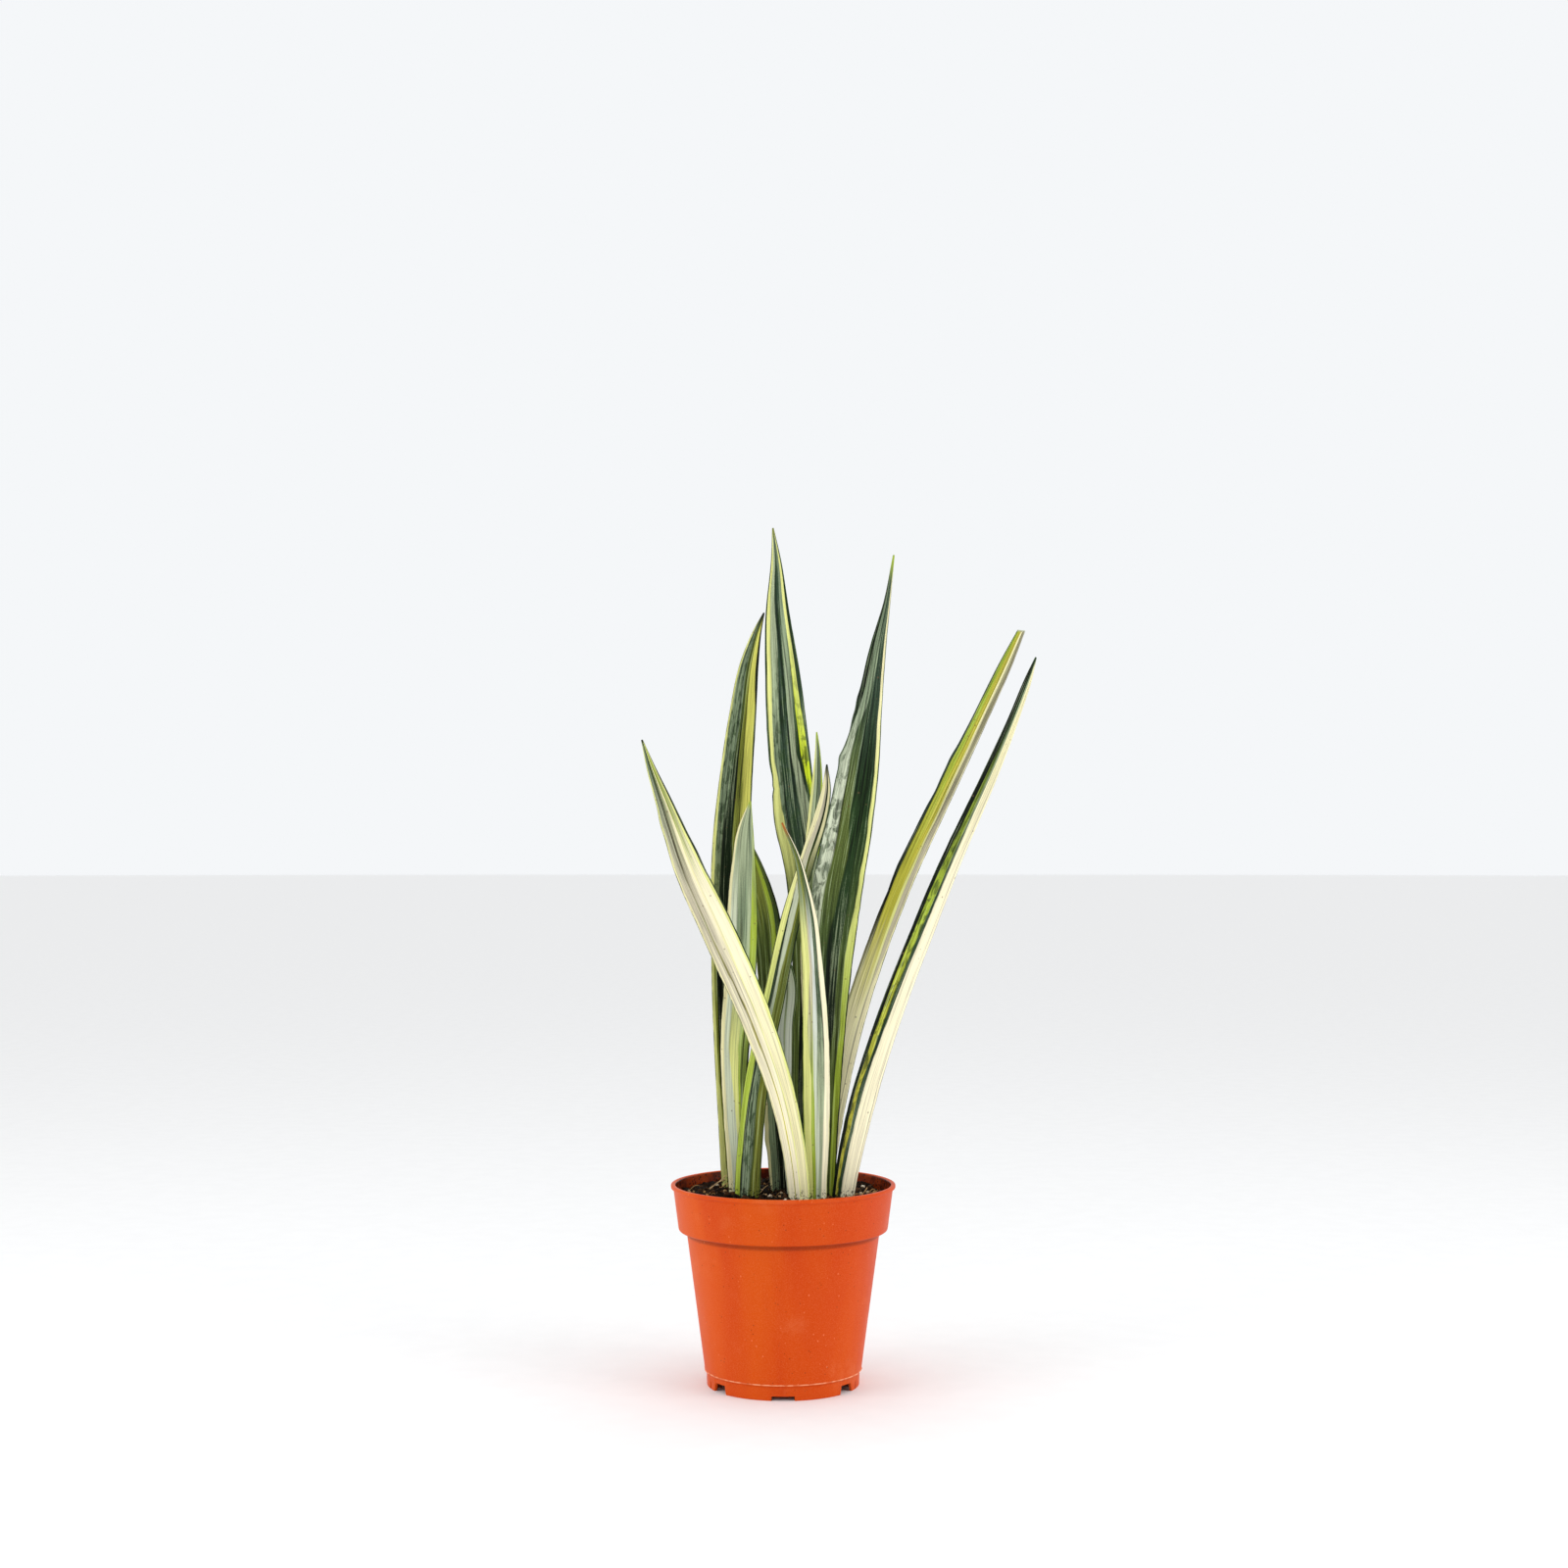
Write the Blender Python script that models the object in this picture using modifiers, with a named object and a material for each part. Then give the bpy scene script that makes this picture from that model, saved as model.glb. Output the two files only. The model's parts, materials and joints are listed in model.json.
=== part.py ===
"""A snake plant in a plastic nursery pot: twelve sword leaves, two rhizomes with roots, soil and pot.

Metres, +Z up. The origin lies on the ground under the middle of the whole plant, so the pot, which
the leaves overhang to one side, stands a little to its left. -Y is the plant's front.
"""
from math import cos, pi, radians, sin

import bmesh
import bpy
import numpy as np
from mathutils import Matrix, Vector

MM = 0.001

# --- Driving dimensions, in millimetres -------------------------------------------------------
POT_AXIS_X = -28.0          # where the pot's axis stands, measured from the origin
POT_AXIS_Y = 2.0

POT_HEIGHT = 93.2
RIM_RADIUS = 52.5
BAND_TOP_RADIUS = 51.3
BAND_FOOT_RADIUS = 48.9
BAND_FOOT_HEIGHT = 73.5
BODY_TOP_RADIUS = 44.8
BODY_TOP_HEIGHT = 69.0
BODY_FOOT_RADIUS = 36.6
SKIRT_HEIGHT = 7.0
SKIRT_RADIUS = 35.6
WALL = 1.1
FLOOR_UNDERSIDE = 5.0
FLOOR_TOP = 6.1
POT_STEPS = 48

NOTCH_FRONT = (10.6, 2.0)   # width and height of the two square notches, front and back
NOTCH_SIDE = (9.4, 4.0)     # of the four deep notches
NOTCH_SIDE_ANGLE = 55.0     # from the front or the back, round the pot
NOTCH_SIDE_SLANT = 1.2      # how far the outer side of a deep notch leans
NOTCH_REACH = 8.0           # how deep a notch's cutter goes through the foot ring
SLIT = (1.0, 3.0)
SLIT_ANGLE = 70.0
DRAIN_HOLES = 8
DRAIN_HOLE_RADIUS = 3.5
DRAIN_CIRCLE_RADIUS = 26.0
DRAIN_CUT = 3.0             # length of a drain hole's cutter

GAP = 0.35                  # kept between pieces that touch
SOIL_LEVEL = 87.8
SOIL_BUMP = 0.7
SOIL_STEPS = 48

RHIZOME_RADIUS = 6.5
RHIZOME_HEIGHT = 66.5       # of its centre line
STEM_SIDES = 12
STEM_TAPER = 0.97
SHOOT_RADIUS = 5.9
SHOOT_TAPER = 0.9
ROOT_RADIUS = 0.9
ROOT_SIDES = 6
ROOT_END_HEIGHT = 16.0
ROOT_REACH = 31.0           # how far from the pot's axis a root's end lies
LEAF_FOOT = RHIZOME_HEIGHT + RHIZOME_RADIUS + 0.4

LEAF_RINGS = 17
LEAF_SIDES = 10
LEAF_FOOT_THICKNESS = 3.4
LEAF_TIP_THICKNESS = 0.9

# Each leaf: rows of (height, x, y, width) up its middle line, from its foot to its tip, about the
# pot's axis; how far it is turned about its own length at foot and tip, in degrees; and how deep it
# is channelled, as a share of its width, positive where it is hollow towards the front.
LEAVES = {
    "leaf_front_leaning": dict(
        rows=((LEAF_FOOT, 8, -29, 9), (91, 7.5, -30, 10), (131, 1.5, -33, 11.5), (169, -10.5, -38, 14),
              (215, -30, -46, 15), (241, -42, -51, 13), (267, -51.5, -56, 8), (286, -58.5, -60, 3.7),
              (297, -62, -62, 0.8)),
        turn=(-4, -12), channel=-0.10, color=(0.62, 0.60, 0.40)),
    "leaf_tall_left": dict(
        rows=((LEAF_FOOT, -24, 19.5, 8), (83, -24.5, 20, 9), (121, -25.5, 22, 12), (163, -26.5, 27, 15),
              (212, -26.5, 33, 18), (255, -25.5, 39, 18.5), (283, -23.5, 44, 16.5), (312, -20.5, 49, 14),
              (342, -16.5, 54, 9), (356, -13, 56, 4.5), (366, -9.5, 58, 0.8)),
        turn=(-10, -16), channel=0.12, color=(0.20, 0.26, 0.12)),
    "leaf_mid_left": dict(
        rows=((LEAF_FOOT, -21, 0, 7), (86, -21, 0, 8), (130, -22.5, 3, 11), (153, -22.5, 5, 13.5),
              (188, -20, 8, 15), (215, -19, 10, 15), (242, -18.5, 13, 11.5), (260, -17.5, 15, 7),
              (272, -15.5, 16, 0.8)),
        turn=(6, 12), channel=0.10, color=(0.42, 0.48, 0.30)),
    "leaf_dark_left": dict(
        rows=((LEAF_FOOT, -2, 8.5, 7), (85, -2, 9, 8), (122, -4, 13, 10.5), (155, -5, 17, 11.5),
              (187, -6, 22, 12.5), (219, -9, 27, 13.5), (241, -14.5, 31, 9), (259, -19.5, 34, 0.8)),
        turn=(-8, -14), channel=0.10, color=(0.18, 0.22, 0.08)),
    "leaf_tall_centre": dict(
        rows=((LEAF_FOOT, 11, 13, 8.5), (84, 11, 13.5, 9.5), (141, 10, 16, 11), (187, 11.5, 20, 13.5),
              (234, 10.5, 25, 17.5), (269, 6, 29, 20), (297, 3, 32, 20), (333, 0, 36, 17),
              (362, -2.5, 40, 12), (391, -3.5, 44, 4.7), (406, -5, 46, 0.8)),
        turn=(4, 8), channel=0.12, color=(0.22, 0.28, 0.16)),
    "leaf_slim": dict(
        rows=((LEAF_FOOT, 15.5, -2.5, 6), (87, 15.5, -2, 6.5), (142, 14.5, 2, 8), (211, 13, 9, 9),
              (254, 14.5, 14, 7.2), (283, 16.5, 17, 5), (297, 16.5, 19, 2.4), (305, 16, 20, 0.7)),
        turn=(8, 20), channel=0.18, color=(0.42, 0.48, 0.30)),
    "leaf_pale_short": dict(
        rows=((LEAF_FOOT, 5, -4.5, 6), (87, 5, -4, 6.5), (120, 2, -1, 7.5), (142, 0.5, 1, 8.5),
              (165, 0.5, 3, 9), (187, 2, 6, 8.5), (197, 1, 7, 4.5), (204, 0.5, 8, 0.7)),
        turn=(5, 5), channel=-0.08, color=(0.58, 0.62, 0.48)),
    "leaf_crossing": dict(
        rows=((LEAF_FOOT, -17, -14, 10), (90, -17, -13, 12), (116, -15.5, -10.5, 12), (139, -13, -8, 11.5),
              (181, -4.5, -4, 10.5), (222, 4.5, 0, 9.5), (244, 11, 2, 8), (265, 17.5, 4, 7),
              (277, 20, 5, 4.8), (289, 20.5, 6, 0.8)),
        turn=(12, 25), channel=-0.12, color=(0.45, 0.46, 0.24)),
    "leaf_front_short": dict(
        rows=((LEAF_FOOT, 15.5, -20.5, 8.5), (90, 15.5, -21, 9), (122, 15.5, -23, 12), (165, 15, -26, 12),
              (196, 13.5, -29, 9.5), (217, 11.5, -31, 8.3), (232, 9.5, -33, 5.5), (245, 6.5, -34, 3),
              (261, -0.5, -36, 0.8)),
        turn=(-4, -8), channel=-0.12, color=(0.50, 0.52, 0.30)),
    "leaf_broad_right": dict(
        rows=((LEAF_FOOT, 18.5, -11, 9.5), (88, 18.5, -11, 10.5), (144, 19, -12.5, 15.5),
              (189, 20.5, -15, 20.5), (234, 25, -18, 23.5), (261, 30, -20.5, 21.5),
              (288, 34.5, -23, 18.5), (315, 39, -26, 12),
              (341, 43, -29, 7.5), (361, 47, -31, 3.2), (382, 50, -34, 0.8)),
        turn=(-6, -12), channel=0.10, color=(0.16, 0.22, 0.14)),
    "leaf_clipped_right": dict(
        rows=((LEAF_FOOT, 17, 3, 9), (86, 18, 4, 9.8), (130, 25, 10, 10.5), (164, 32.5, 15, 11.5),
              (206, 46.5, 23, 11.5), (241, 61, 30, 11.5), (276, 78, 38, 11), (312, 96, 46, 9.5),
              (341, 110, 52, 8), (357, 117.5, 56, 4.8)),
        turn=(12, 44), channel=0.08, color=(0.50, 0.48, 0.20)),
    "leaf_outer_right": dict(
        rows=((LEAF_FOOT, 26.5, -16, 9.5), (89, 28, -17, 10.5), (126, 35, -21, 12.5), (167, 47, -27, 12.5),
              (208, 62, -33, 12), (248, 78, -39, 10.5), (280, 92, -45, 8.5), (306, 102.5, -49, 6),
              (326, 109.5, -53, 3.6), (334, 112, -54, 0.8)),
        turn=(-14, -34), channel=-0.10, color=(0.70, 0.68, 0.48)),
}

# The rhizomes' middle lines, as (x, y) about the pot's axis, with each one's side shoots, and the
# compass angles at which its first and last root end.
RHIZOMES = {
    "rhizome_left": dict(
        stems=(((-26, 22), (-24, 10), (-21, -2), (-15, -14), (-5, -24), (7, -30)),),
        roots=7, angles=(128.0, 262.0)),
    "rhizome_right": dict(
        stems=(((-3, 9), (8, 13), (17, 6), (18, -4), (21, -13), (28, -18)),
               ((18, -4), (10, -5), (5, -4)),
               ((21, -13), (17, -18), (15, -21))),
        roots=8, angles=(104.0, -58.0)),
}


# --- Scene, collections and materials ----------------------------------------------------------
def clear_scene():
    """Remove every object that is in the file."""
    for old in list(bpy.data.objects):
        bpy.data.objects.remove(old, do_unlink=True)


def make_collection(name):
    """A new collection under the scene's own."""
    collection = bpy.data.collections.new(name)
    bpy.context.scene.collection.children.link(collection)
    return collection


def make_material(name, color, roughness, metallic=0.0):
    """A Principled material of one colour."""
    material = bpy.data.materials.new(name)
    material.use_nodes = True
    shader = material.node_tree.nodes["Principled BSDF"]
    shader.inputs["Base Color"].default_value = (*color, 1.0)
    shader.inputs["Roughness"].default_value = roughness
    shader.inputs["Metallic"].default_value = metallic
    return material


def add_object(name, mesh, collection, stand, material=None):
    """Link a mesh as a named object, parented to the pot's stand."""
    item = bpy.data.objects.new(name, mesh)
    collection.objects.link(item)
    item.parent = stand
    if material is not None:
        mesh.materials.append(material)
    return item


def hide_as_cutter(item):
    """Mark a cutter, so that it is no part of the plant."""
    item.hide_render = True
    item.display_type = "WIRE"


def add_boolean(target, operand, operation):
    """Cut or join an operand to a target with the exact solver."""
    modifier = target.modifiers.new(operand.name, "BOOLEAN")
    modifier.operation = operation
    modifier.object = operand
    modifier.solver = "EXACT"


def close_up(work, mesh):
    """Point a closed bmesh's faces outwards and write it to a mesh."""
    bmesh.ops.recalc_face_normals(work, faces=work.faces)
    work.to_mesh(mesh)
    work.free()
    mesh.shade_smooth()
    mesh.set_sharp_from_angle(angle=radians(40))


# --- Turned pieces -----------------------------------------------------------------------------
def turned_mesh(name, profile, steps):
    """Turn a profile of (radius, height) about the Z axis with a Screw modifier."""
    outline = bpy.data.meshes.new(name + "_profile")
    points = [(radius * MM, 0.0, height * MM) for radius, height in profile]
    edges = [(i, i + 1) for i in range(len(points) - 1)]
    outline.from_pydata(points, edges, [])
    turner = bpy.data.objects.new(name + "_turner", outline)
    bpy.context.scene.collection.objects.link(turner)
    screw = turner.modifiers.new("turn", "SCREW")
    screw.steps = steps
    screw.render_steps = steps
    screw.use_merge_vertices = True
    screw.merge_threshold = 0.00005
    evaluated = turner.evaluated_get(bpy.context.evaluated_depsgraph_get())
    mesh = bpy.data.meshes.new_from_object(evaluated)
    mesh.name = name
    bpy.data.objects.remove(turner, do_unlink=True)
    return mesh


def body_radius(height):
    """The outer radius of the pot's tapered body at a height."""
    rise = (height - SKIRT_HEIGHT) / (BODY_TOP_HEIGHT - SKIRT_HEIGHT)
    return BODY_FOOT_RADIUS + (BODY_TOP_RADIUS - BODY_FOOT_RADIUS) * rise


def band_radius(height):
    """The outer radius of the pot's collar band at a height."""
    rise = (height - BAND_FOOT_HEIGHT) / (POT_HEIGHT - 2.0 - BAND_FOOT_HEIGHT)
    return BAND_FOOT_RADIUS + (BAND_TOP_RADIUS - BAND_FOOT_RADIUS) * rise


def inner_profile(inset):
    """The pot's inside, from the floor's edge up to the rim, moved in by an inset."""
    ledge = BODY_TOP_HEIGHT + 1.6
    return [
        (body_radius(FLOOR_TOP + 1.2) - WALL - 1.2 - inset, FLOOR_TOP),
        (body_radius(FLOOR_TOP + 1.2) - WALL - inset, FLOOR_TOP + 1.2),
        (body_radius(BODY_TOP_HEIGHT) - WALL - inset, ledge),
        (BAND_FOOT_RADIUS - WALL - 0.8 - inset, ledge + 2.0),
        (BAND_FOOT_RADIUS - WALL - inset, ledge + 3.0),
    ]


def pot_profile():
    """Up the inside, over the rolled rim, down the outside and under the foot."""
    top = POT_HEIGHT
    inside = [(0.0, FLOOR_TOP)] + inner_profile(0.0)
    rim = [
        (BAND_TOP_RADIUS - WALL, top - 1.6),
        (BAND_TOP_RADIUS - WALL + 0.2, top - 0.5),
        (BAND_TOP_RADIUS - WALL + 0.8, top),
        (RIM_RADIUS - 0.6, top),
        (RIM_RADIUS - 0.1, top - 0.4),
        (RIM_RADIUS, top - 1.0),
        (RIM_RADIUS - 0.3, top - 1.6),
        (BAND_TOP_RADIUS, top - 2.0),
    ]
    band_foot = [
        (BAND_FOOT_RADIUS, BAND_FOOT_HEIGHT),
        (BAND_FOOT_RADIUS - 0.2, BAND_FOOT_HEIGHT - 1.0),
        (BAND_FOOT_RADIUS - 0.9, BAND_FOOT_HEIGHT - 1.8),
        (BODY_TOP_RADIUS + 0.7, BODY_TOP_HEIGHT + 0.9),
        (BODY_TOP_RADIUS, BODY_TOP_HEIGHT),
    ]
    skirt = [
        (BODY_FOOT_RADIUS, SKIRT_HEIGHT),
        (BODY_FOOT_RADIUS - 0.2, SKIRT_HEIGHT - 0.4),
        (SKIRT_RADIUS, SKIRT_HEIGHT - 0.7),
        (SKIRT_RADIUS - 0.1, 0.2),
        (SKIRT_RADIUS - 0.3, 0.0),
        (SKIRT_RADIUS - 1.3, 0.0),
        (SKIRT_RADIUS - 1.4, 0.2),
        (SKIRT_RADIUS - 1.3, FLOOR_UNDERSIDE),
        (0.0, FLOOR_UNDERSIDE),
    ]
    return inside + rim + band_foot + skirt


def notch_cutter(name, size, angle, slant, cutters, stand):
    """A block across the foot ring, with one side slanted, at an angle round from the front."""
    width, height = size
    work = bmesh.new()
    bmesh.ops.create_cube(work, size=1.0)
    for vertex in work.verts:
        x, y, z = vertex.co
        lean = slant if x > 0 and z > 0 else 0.0
        vertex.co = ((x * width - lean) * MM, (y * NOTCH_REACH - SKIRT_RADIUS) * MM, (z + 0.5) * height * MM)
        if z < 0:
            vertex.co.z = -MM
    turn = Matrix.Rotation(radians(angle), 3, "Z")
    bmesh.ops.rotate(work, verts=work.verts, cent=(0, 0, 0), matrix=turn)
    mesh = bpy.data.meshes.new(name)
    close_up(work, mesh)
    cutter = add_object(name, mesh, cutters, stand)
    hide_as_cutter(cutter)
    return cutter


def drain_cutter(index, cutters, stand):
    """An upright cylinder through the pot's floor."""
    turn = 2 * pi * (index + 0.5) / DRAIN_HOLES
    place = Vector((cos(turn), sin(turn), 0.0)) * DRAIN_CIRCLE_RADIUS * MM
    place.z = (FLOOR_UNDERSIDE + FLOOR_TOP) / 2 * MM
    work = bmesh.new()
    bmesh.ops.create_cone(work, cap_ends=True, segments=16, radius1=DRAIN_HOLE_RADIUS * MM,
                          radius2=DRAIN_HOLE_RADIUS * MM, depth=DRAIN_CUT * MM,
                          matrix=Matrix.Translation(place))
    name = f"cutter_drain_{index + 1}"
    mesh = bpy.data.meshes.new(name)
    close_up(work, mesh)
    cutter = add_object(name, mesh, cutters, stand)
    hide_as_cutter(cutter)
    return cutter


def build_pot(parts, cutters, stand):
    """The nursery pot: a thin tapered cup with a collar band, a rolled rim and a notched foot ring."""
    material = make_material("terracotta_plastic", (0.66, 0.10, 0.015), 0.45)
    mesh = turned_mesh("pot", pot_profile(), POT_STEPS)
    mesh.shade_smooth()
    mesh.set_sharp_from_angle(angle=radians(40))
    pot = add_object("pot", mesh, parts, stand, material)
    for side, base in (("front", 0.0), ("back", 180.0)):
        notch = notch_cutter(f"cutter_notch_{side}", NOTCH_FRONT, base, 0.0, cutters, stand)
        add_boolean(pot, notch, "DIFFERENCE")
        for hand in (-1, 1):
            label = f"{side}_{'left' if hand < 0 else 'right'}"
            deep = notch_cutter(f"cutter_deep_{label}", NOTCH_SIDE, base + hand * NOTCH_SIDE_ANGLE,
                                NOTCH_SIDE_SLANT, cutters, stand)
            add_boolean(pot, deep, "DIFFERENCE")
            slit = notch_cutter(f"cutter_slit_{label}", SLIT, base + hand * SLIT_ANGLE, 0.0, cutters, stand)
            add_boolean(pot, slit, "DIFFERENCE")
    for index in range(DRAIN_HOLES):
        add_boolean(pot, drain_cutter(index, cutters, stand), "DIFFERENCE")
    return pot


# --- Leaves ------------------------------------------------------------------------------------
def smooth_rows(rows, heights):
    """Read x, y and width at given heights from a smooth cubic curve through a leaf's rows."""
    table = np.array(rows, dtype=float)
    at, values = table[:, 0], table[:, 1:]
    slopes = np.gradient(values, at, axis=0)
    i = np.clip(np.searchsorted(at, heights) - 1, 0, len(at) - 2)
    step = (at[i + 1] - at[i])[:, None]
    f = (heights[:, None] - at[i][:, None]) / step
    start = (1 + 2 * f) * (1 - f) ** 2 * values[i] + f * (1 - f) ** 2 * step * slopes[i]
    end = f ** 2 * (3 - 2 * f) * values[i + 1] + f ** 2 * (f - 1) * step * slopes[i + 1]
    return start + end


def leaf_frame(plan, heights):
    """Middle line, side and front directions, width, thickness and channel depth up a leaf."""
    x, y, width = smooth_rows(plan["rows"], heights).T
    middle = np.column_stack([x, y, heights])
    along = np.gradient(middle, heights, axis=0)
    along /= np.linalg.norm(along, axis=1)[:, None]
    side = np.cross(np.array([0.0, 1.0, 0.0]), along)
    side /= np.linalg.norm(side, axis=1)[:, None]
    front = np.cross(side, along)
    share = (heights - heights[0]) / (heights[-1] - heights[0])
    turn = np.radians(plan["turn"][0] + (plan["turn"][1] - plan["turn"][0]) * share)[:, None]
    turned_side = side * np.cos(turn) + front * np.sin(turn)
    turned_front = front * np.cos(turn) - side * np.sin(turn)
    thickness = LEAF_FOOT_THICKNESS + (LEAF_TIP_THICKNESS - LEAF_FOOT_THICKNESS) * share ** 0.7
    thickness = np.minimum(thickness, 0.35 * width + 0.3)
    channel = plan["channel"] * width * (1.0 + 0.6 * (1.0 - share) ** 3)
    return middle, turned_side, turned_front, width, thickness, channel


def leaf_rings(plan, heights, grow):
    """Bent lens-shaped sections up a leaf, in millimetres; grow fattens them all round."""
    middle, side, front, width, thickness, channel = leaf_frame(plan, heights)
    angle = 2 * pi * np.arange(LEAF_SIDES) / LEAF_SIDES
    across = np.cos(angle)[None, :, None]
    through = np.sin(angle)[None, :, None]
    half_width = (width / 2 + grow)[:, None, None]
    half_thickness = (thickness / 2 + grow)[:, None, None]
    bend = channel[:, None, None] * across ** 2
    return (middle[:, None, :] + side[:, None, :] * across * half_width
            + front[:, None, :] * (through * half_thickness + bend))


def loft_mesh(name, rings):
    """Skin a stack of closed rings and cap both ends."""
    work = bmesh.new()
    rows = [[work.verts.new(Vector(point) * MM) for point in ring] for ring in rings]
    sides = len(rows[0])
    for low, high in zip(rows[:-1], rows[1:]):
        for j in range(sides):
            k = (j + 1) % sides
            work.faces.new((low[j], low[k], high[k], high[j]))
    work.faces.new(rows[0])
    work.faces.new(rows[-1])
    mesh = bpy.data.meshes.new(name)
    close_up(work, mesh)
    return mesh


def build_leaf(name, plan, parts, cutters, stand):
    """One leaf, and the cutter that clears its foot out of the soil."""
    material = make_material(name + "_skin", plan["color"], 0.42)
    rows = plan["rows"]
    heights = np.linspace(rows[0][0], rows[-1][0], LEAF_RINGS)
    add_object(name, loft_mesh(name, leaf_rings(plan, heights, 0.0)), parts, stand, material)
    buried = int(np.searchsorted(heights, SOIL_LEVEL + 3.0)) + 1
    clearance = leaf_rings(plan, heights, GAP)[:buried]
    clearance[0, :, 2] -= GAP
    cutter = add_object("cutter_" + name, loft_mesh("cutter_" + name, clearance), cutters, stand)
    hide_as_cutter(cutter)
    return cutter


# --- Rhizomes and roots ------------------------------------------------------------------------
def tube_mesh(name, points, radius, taper, sides):
    """A round tube along a smooth line, thinning to a share of its radius, as one closed mesh."""
    curve = bpy.data.curves.new(name, "CURVE")
    curve.dimensions = "3D"
    curve.bevel_depth = radius * MM
    curve.bevel_resolution = (sides - 4) // 2
    curve.use_fill_caps = True
    spline = curve.splines.new("POLY")
    spline.points.add(len(points) - 1)
    for i, point in enumerate(points):
        spline.points[i].co = (*(Vector(point) * MM), 1.0)
        spline.points[i].radius = 1.0 + (taper - 1.0) * i / (len(points) - 1)
    carrier = bpy.data.objects.new(name, curve)
    bpy.context.scene.collection.objects.link(carrier)
    evaluated = carrier.evaluated_get(bpy.context.evaluated_depsgraph_get())
    mesh = bpy.data.meshes.new_from_object(evaluated)
    bpy.data.objects.remove(carrier, do_unlink=True)
    work = bmesh.new()
    work.from_mesh(mesh)
    bmesh.ops.remove_doubles(work, verts=work.verts, dist=0.000001)
    close_up(work, mesh)
    return mesh


def smooth_line(points, count):
    """Evenly read points on a smooth curve through a few given ones."""
    given = np.array(points, dtype=float)
    at = np.arange(len(given), dtype=float)
    rows = np.column_stack([at, given])
    return smooth_rows(rows, np.linspace(0.0, at[-1], count))


def stem_line(stem, overrun):
    """A rhizome stem's middle line in space, run on past both ends by a length."""
    flat = smooth_line(stem, 3 * len(stem))
    line = np.column_stack([flat, np.full(len(flat), RHIZOME_HEIGHT)])
    for end, inner in ((0, 1), (-1, -2)):
        outward = line[end] - line[inner]
        line[end] += outward / np.linalg.norm(outward) * overrun
    return line


def root_line(start, angle, overrun):
    """A root that leaves a rhizome, bows outwards and hangs down to near the floor."""
    share = np.linspace(0.0, 1.0, 7)
    reach = ROOT_REACH * np.array([cos(radians(angle)), sin(radians(angle))])
    sway = 1.6 * np.sin(share * 2 * pi)[:, None] * np.array([-sin(radians(angle)), cos(radians(angle))])
    flat = start + (reach - start) * (share ** 0.8)[:, None] + sway
    drop = RHIZOME_HEIGHT - 2.0 - (RHIZOME_HEIGHT - 2.0 - ROOT_END_HEIGHT) * share ** 1.3
    line = np.column_stack([flat, drop])
    line[-1, 2] -= overrun
    return line


def build_rhizome(name, plan, parts, cutters, stand):
    """A creeping stem with its side shoots and roots, and the cutter that clears it out of the soil."""
    material = make_material(name + "_bark", (0.45, 0.28, 0.12), 0.7)
    made = []
    for grow, target, label in ((0.0, parts, name), (GAP, cutters, "cutter_" + name)):
        stems = [stem_line(stem, grow) for stem in plan["stems"]]
        first, last = plan["angles"]
        feet = smooth_line(plan["stems"][0], plan["roots"] + 2)[1:-1]
        angles = np.linspace(first, last, plan["roots"])
        roots = [root_line(foot, angle, grow) for foot, angle in zip(feet, angles)]
        stem = tube_mesh(label, stems[0], RHIZOME_RADIUS + grow, STEM_TAPER, STEM_SIDES)
        body = add_object(label, stem, target, stand, material)
        arms = [tube_mesh(f"{label}_shoot_{i}", line, SHOOT_RADIUS + grow, SHOOT_TAPER, STEM_SIDES)
                for i, line in enumerate(stems[1:], 1)]
        arms += [tube_mesh(f"{label}_root_{i}", line, ROOT_RADIUS + grow, 1.0, ROOT_SIDES)
                 for i, line in enumerate(roots, 1)]
        for mesh in arms:
            arm = add_object("join_" + mesh.name, mesh, cutters, stand)
            hide_as_cutter(arm)
            add_boolean(body, arm, "UNION")
        made.append(body)
    hide_as_cutter(made[1])
    return made[1]


# --- Soil --------------------------------------------------------------------------------------
def soil_height(x, y):
    """The uneven surface of the soil: a few long waves on its level."""
    waves = (np.sin(0.17 * x + 0.6) * np.cos(0.14 * y) + np.sin(0.31 * y - 0.23 * x + 1.9)
             + 0.6 * np.sin(0.52 * x + 0.4 * y))
    return SOIL_LEVEL + SOIL_BUMP * waves / 2.6


def build_soil(cavities, parts, stand):
    """The potting soil that fills the pot, with a hollow for each leaf foot and rhizome."""
    material = make_material("potting_soil", (0.035, 0.022, 0.015), 0.95)
    wall = inner_profile(GAP)
    foot = [(radius, height + (GAP if i == 0 else 0.0)) for i, (radius, height) in enumerate(wall)]
    edge = band_radius(SOIL_LEVEL) - WALL - GAP
    crown = [(share * edge / 7, SOIL_LEVEL) for share in range(8)]
    profile = crown + foot[::-1] + [(0.0, FLOOR_TOP + GAP)]
    mesh = turned_mesh("soil", profile, SOIL_STEPS)
    count = len(mesh.vertices)
    points = np.empty(count * 3)
    mesh.vertices.foreach_get("co", points)
    points = points.reshape(count, 3)
    top = points[:, 2] > (SOIL_LEVEL - 0.01) * MM
    points[top, 2] = soil_height(points[top, 0] / MM, points[top, 1] / MM) * MM
    mesh.vertices.foreach_set("co", points.ravel())
    mesh.shade_smooth()
    soil = add_object("soil", mesh, parts, stand, material)
    for cavity in cavities:
        add_boolean(soil, cavity, "DIFFERENCE")
    return soil


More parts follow.
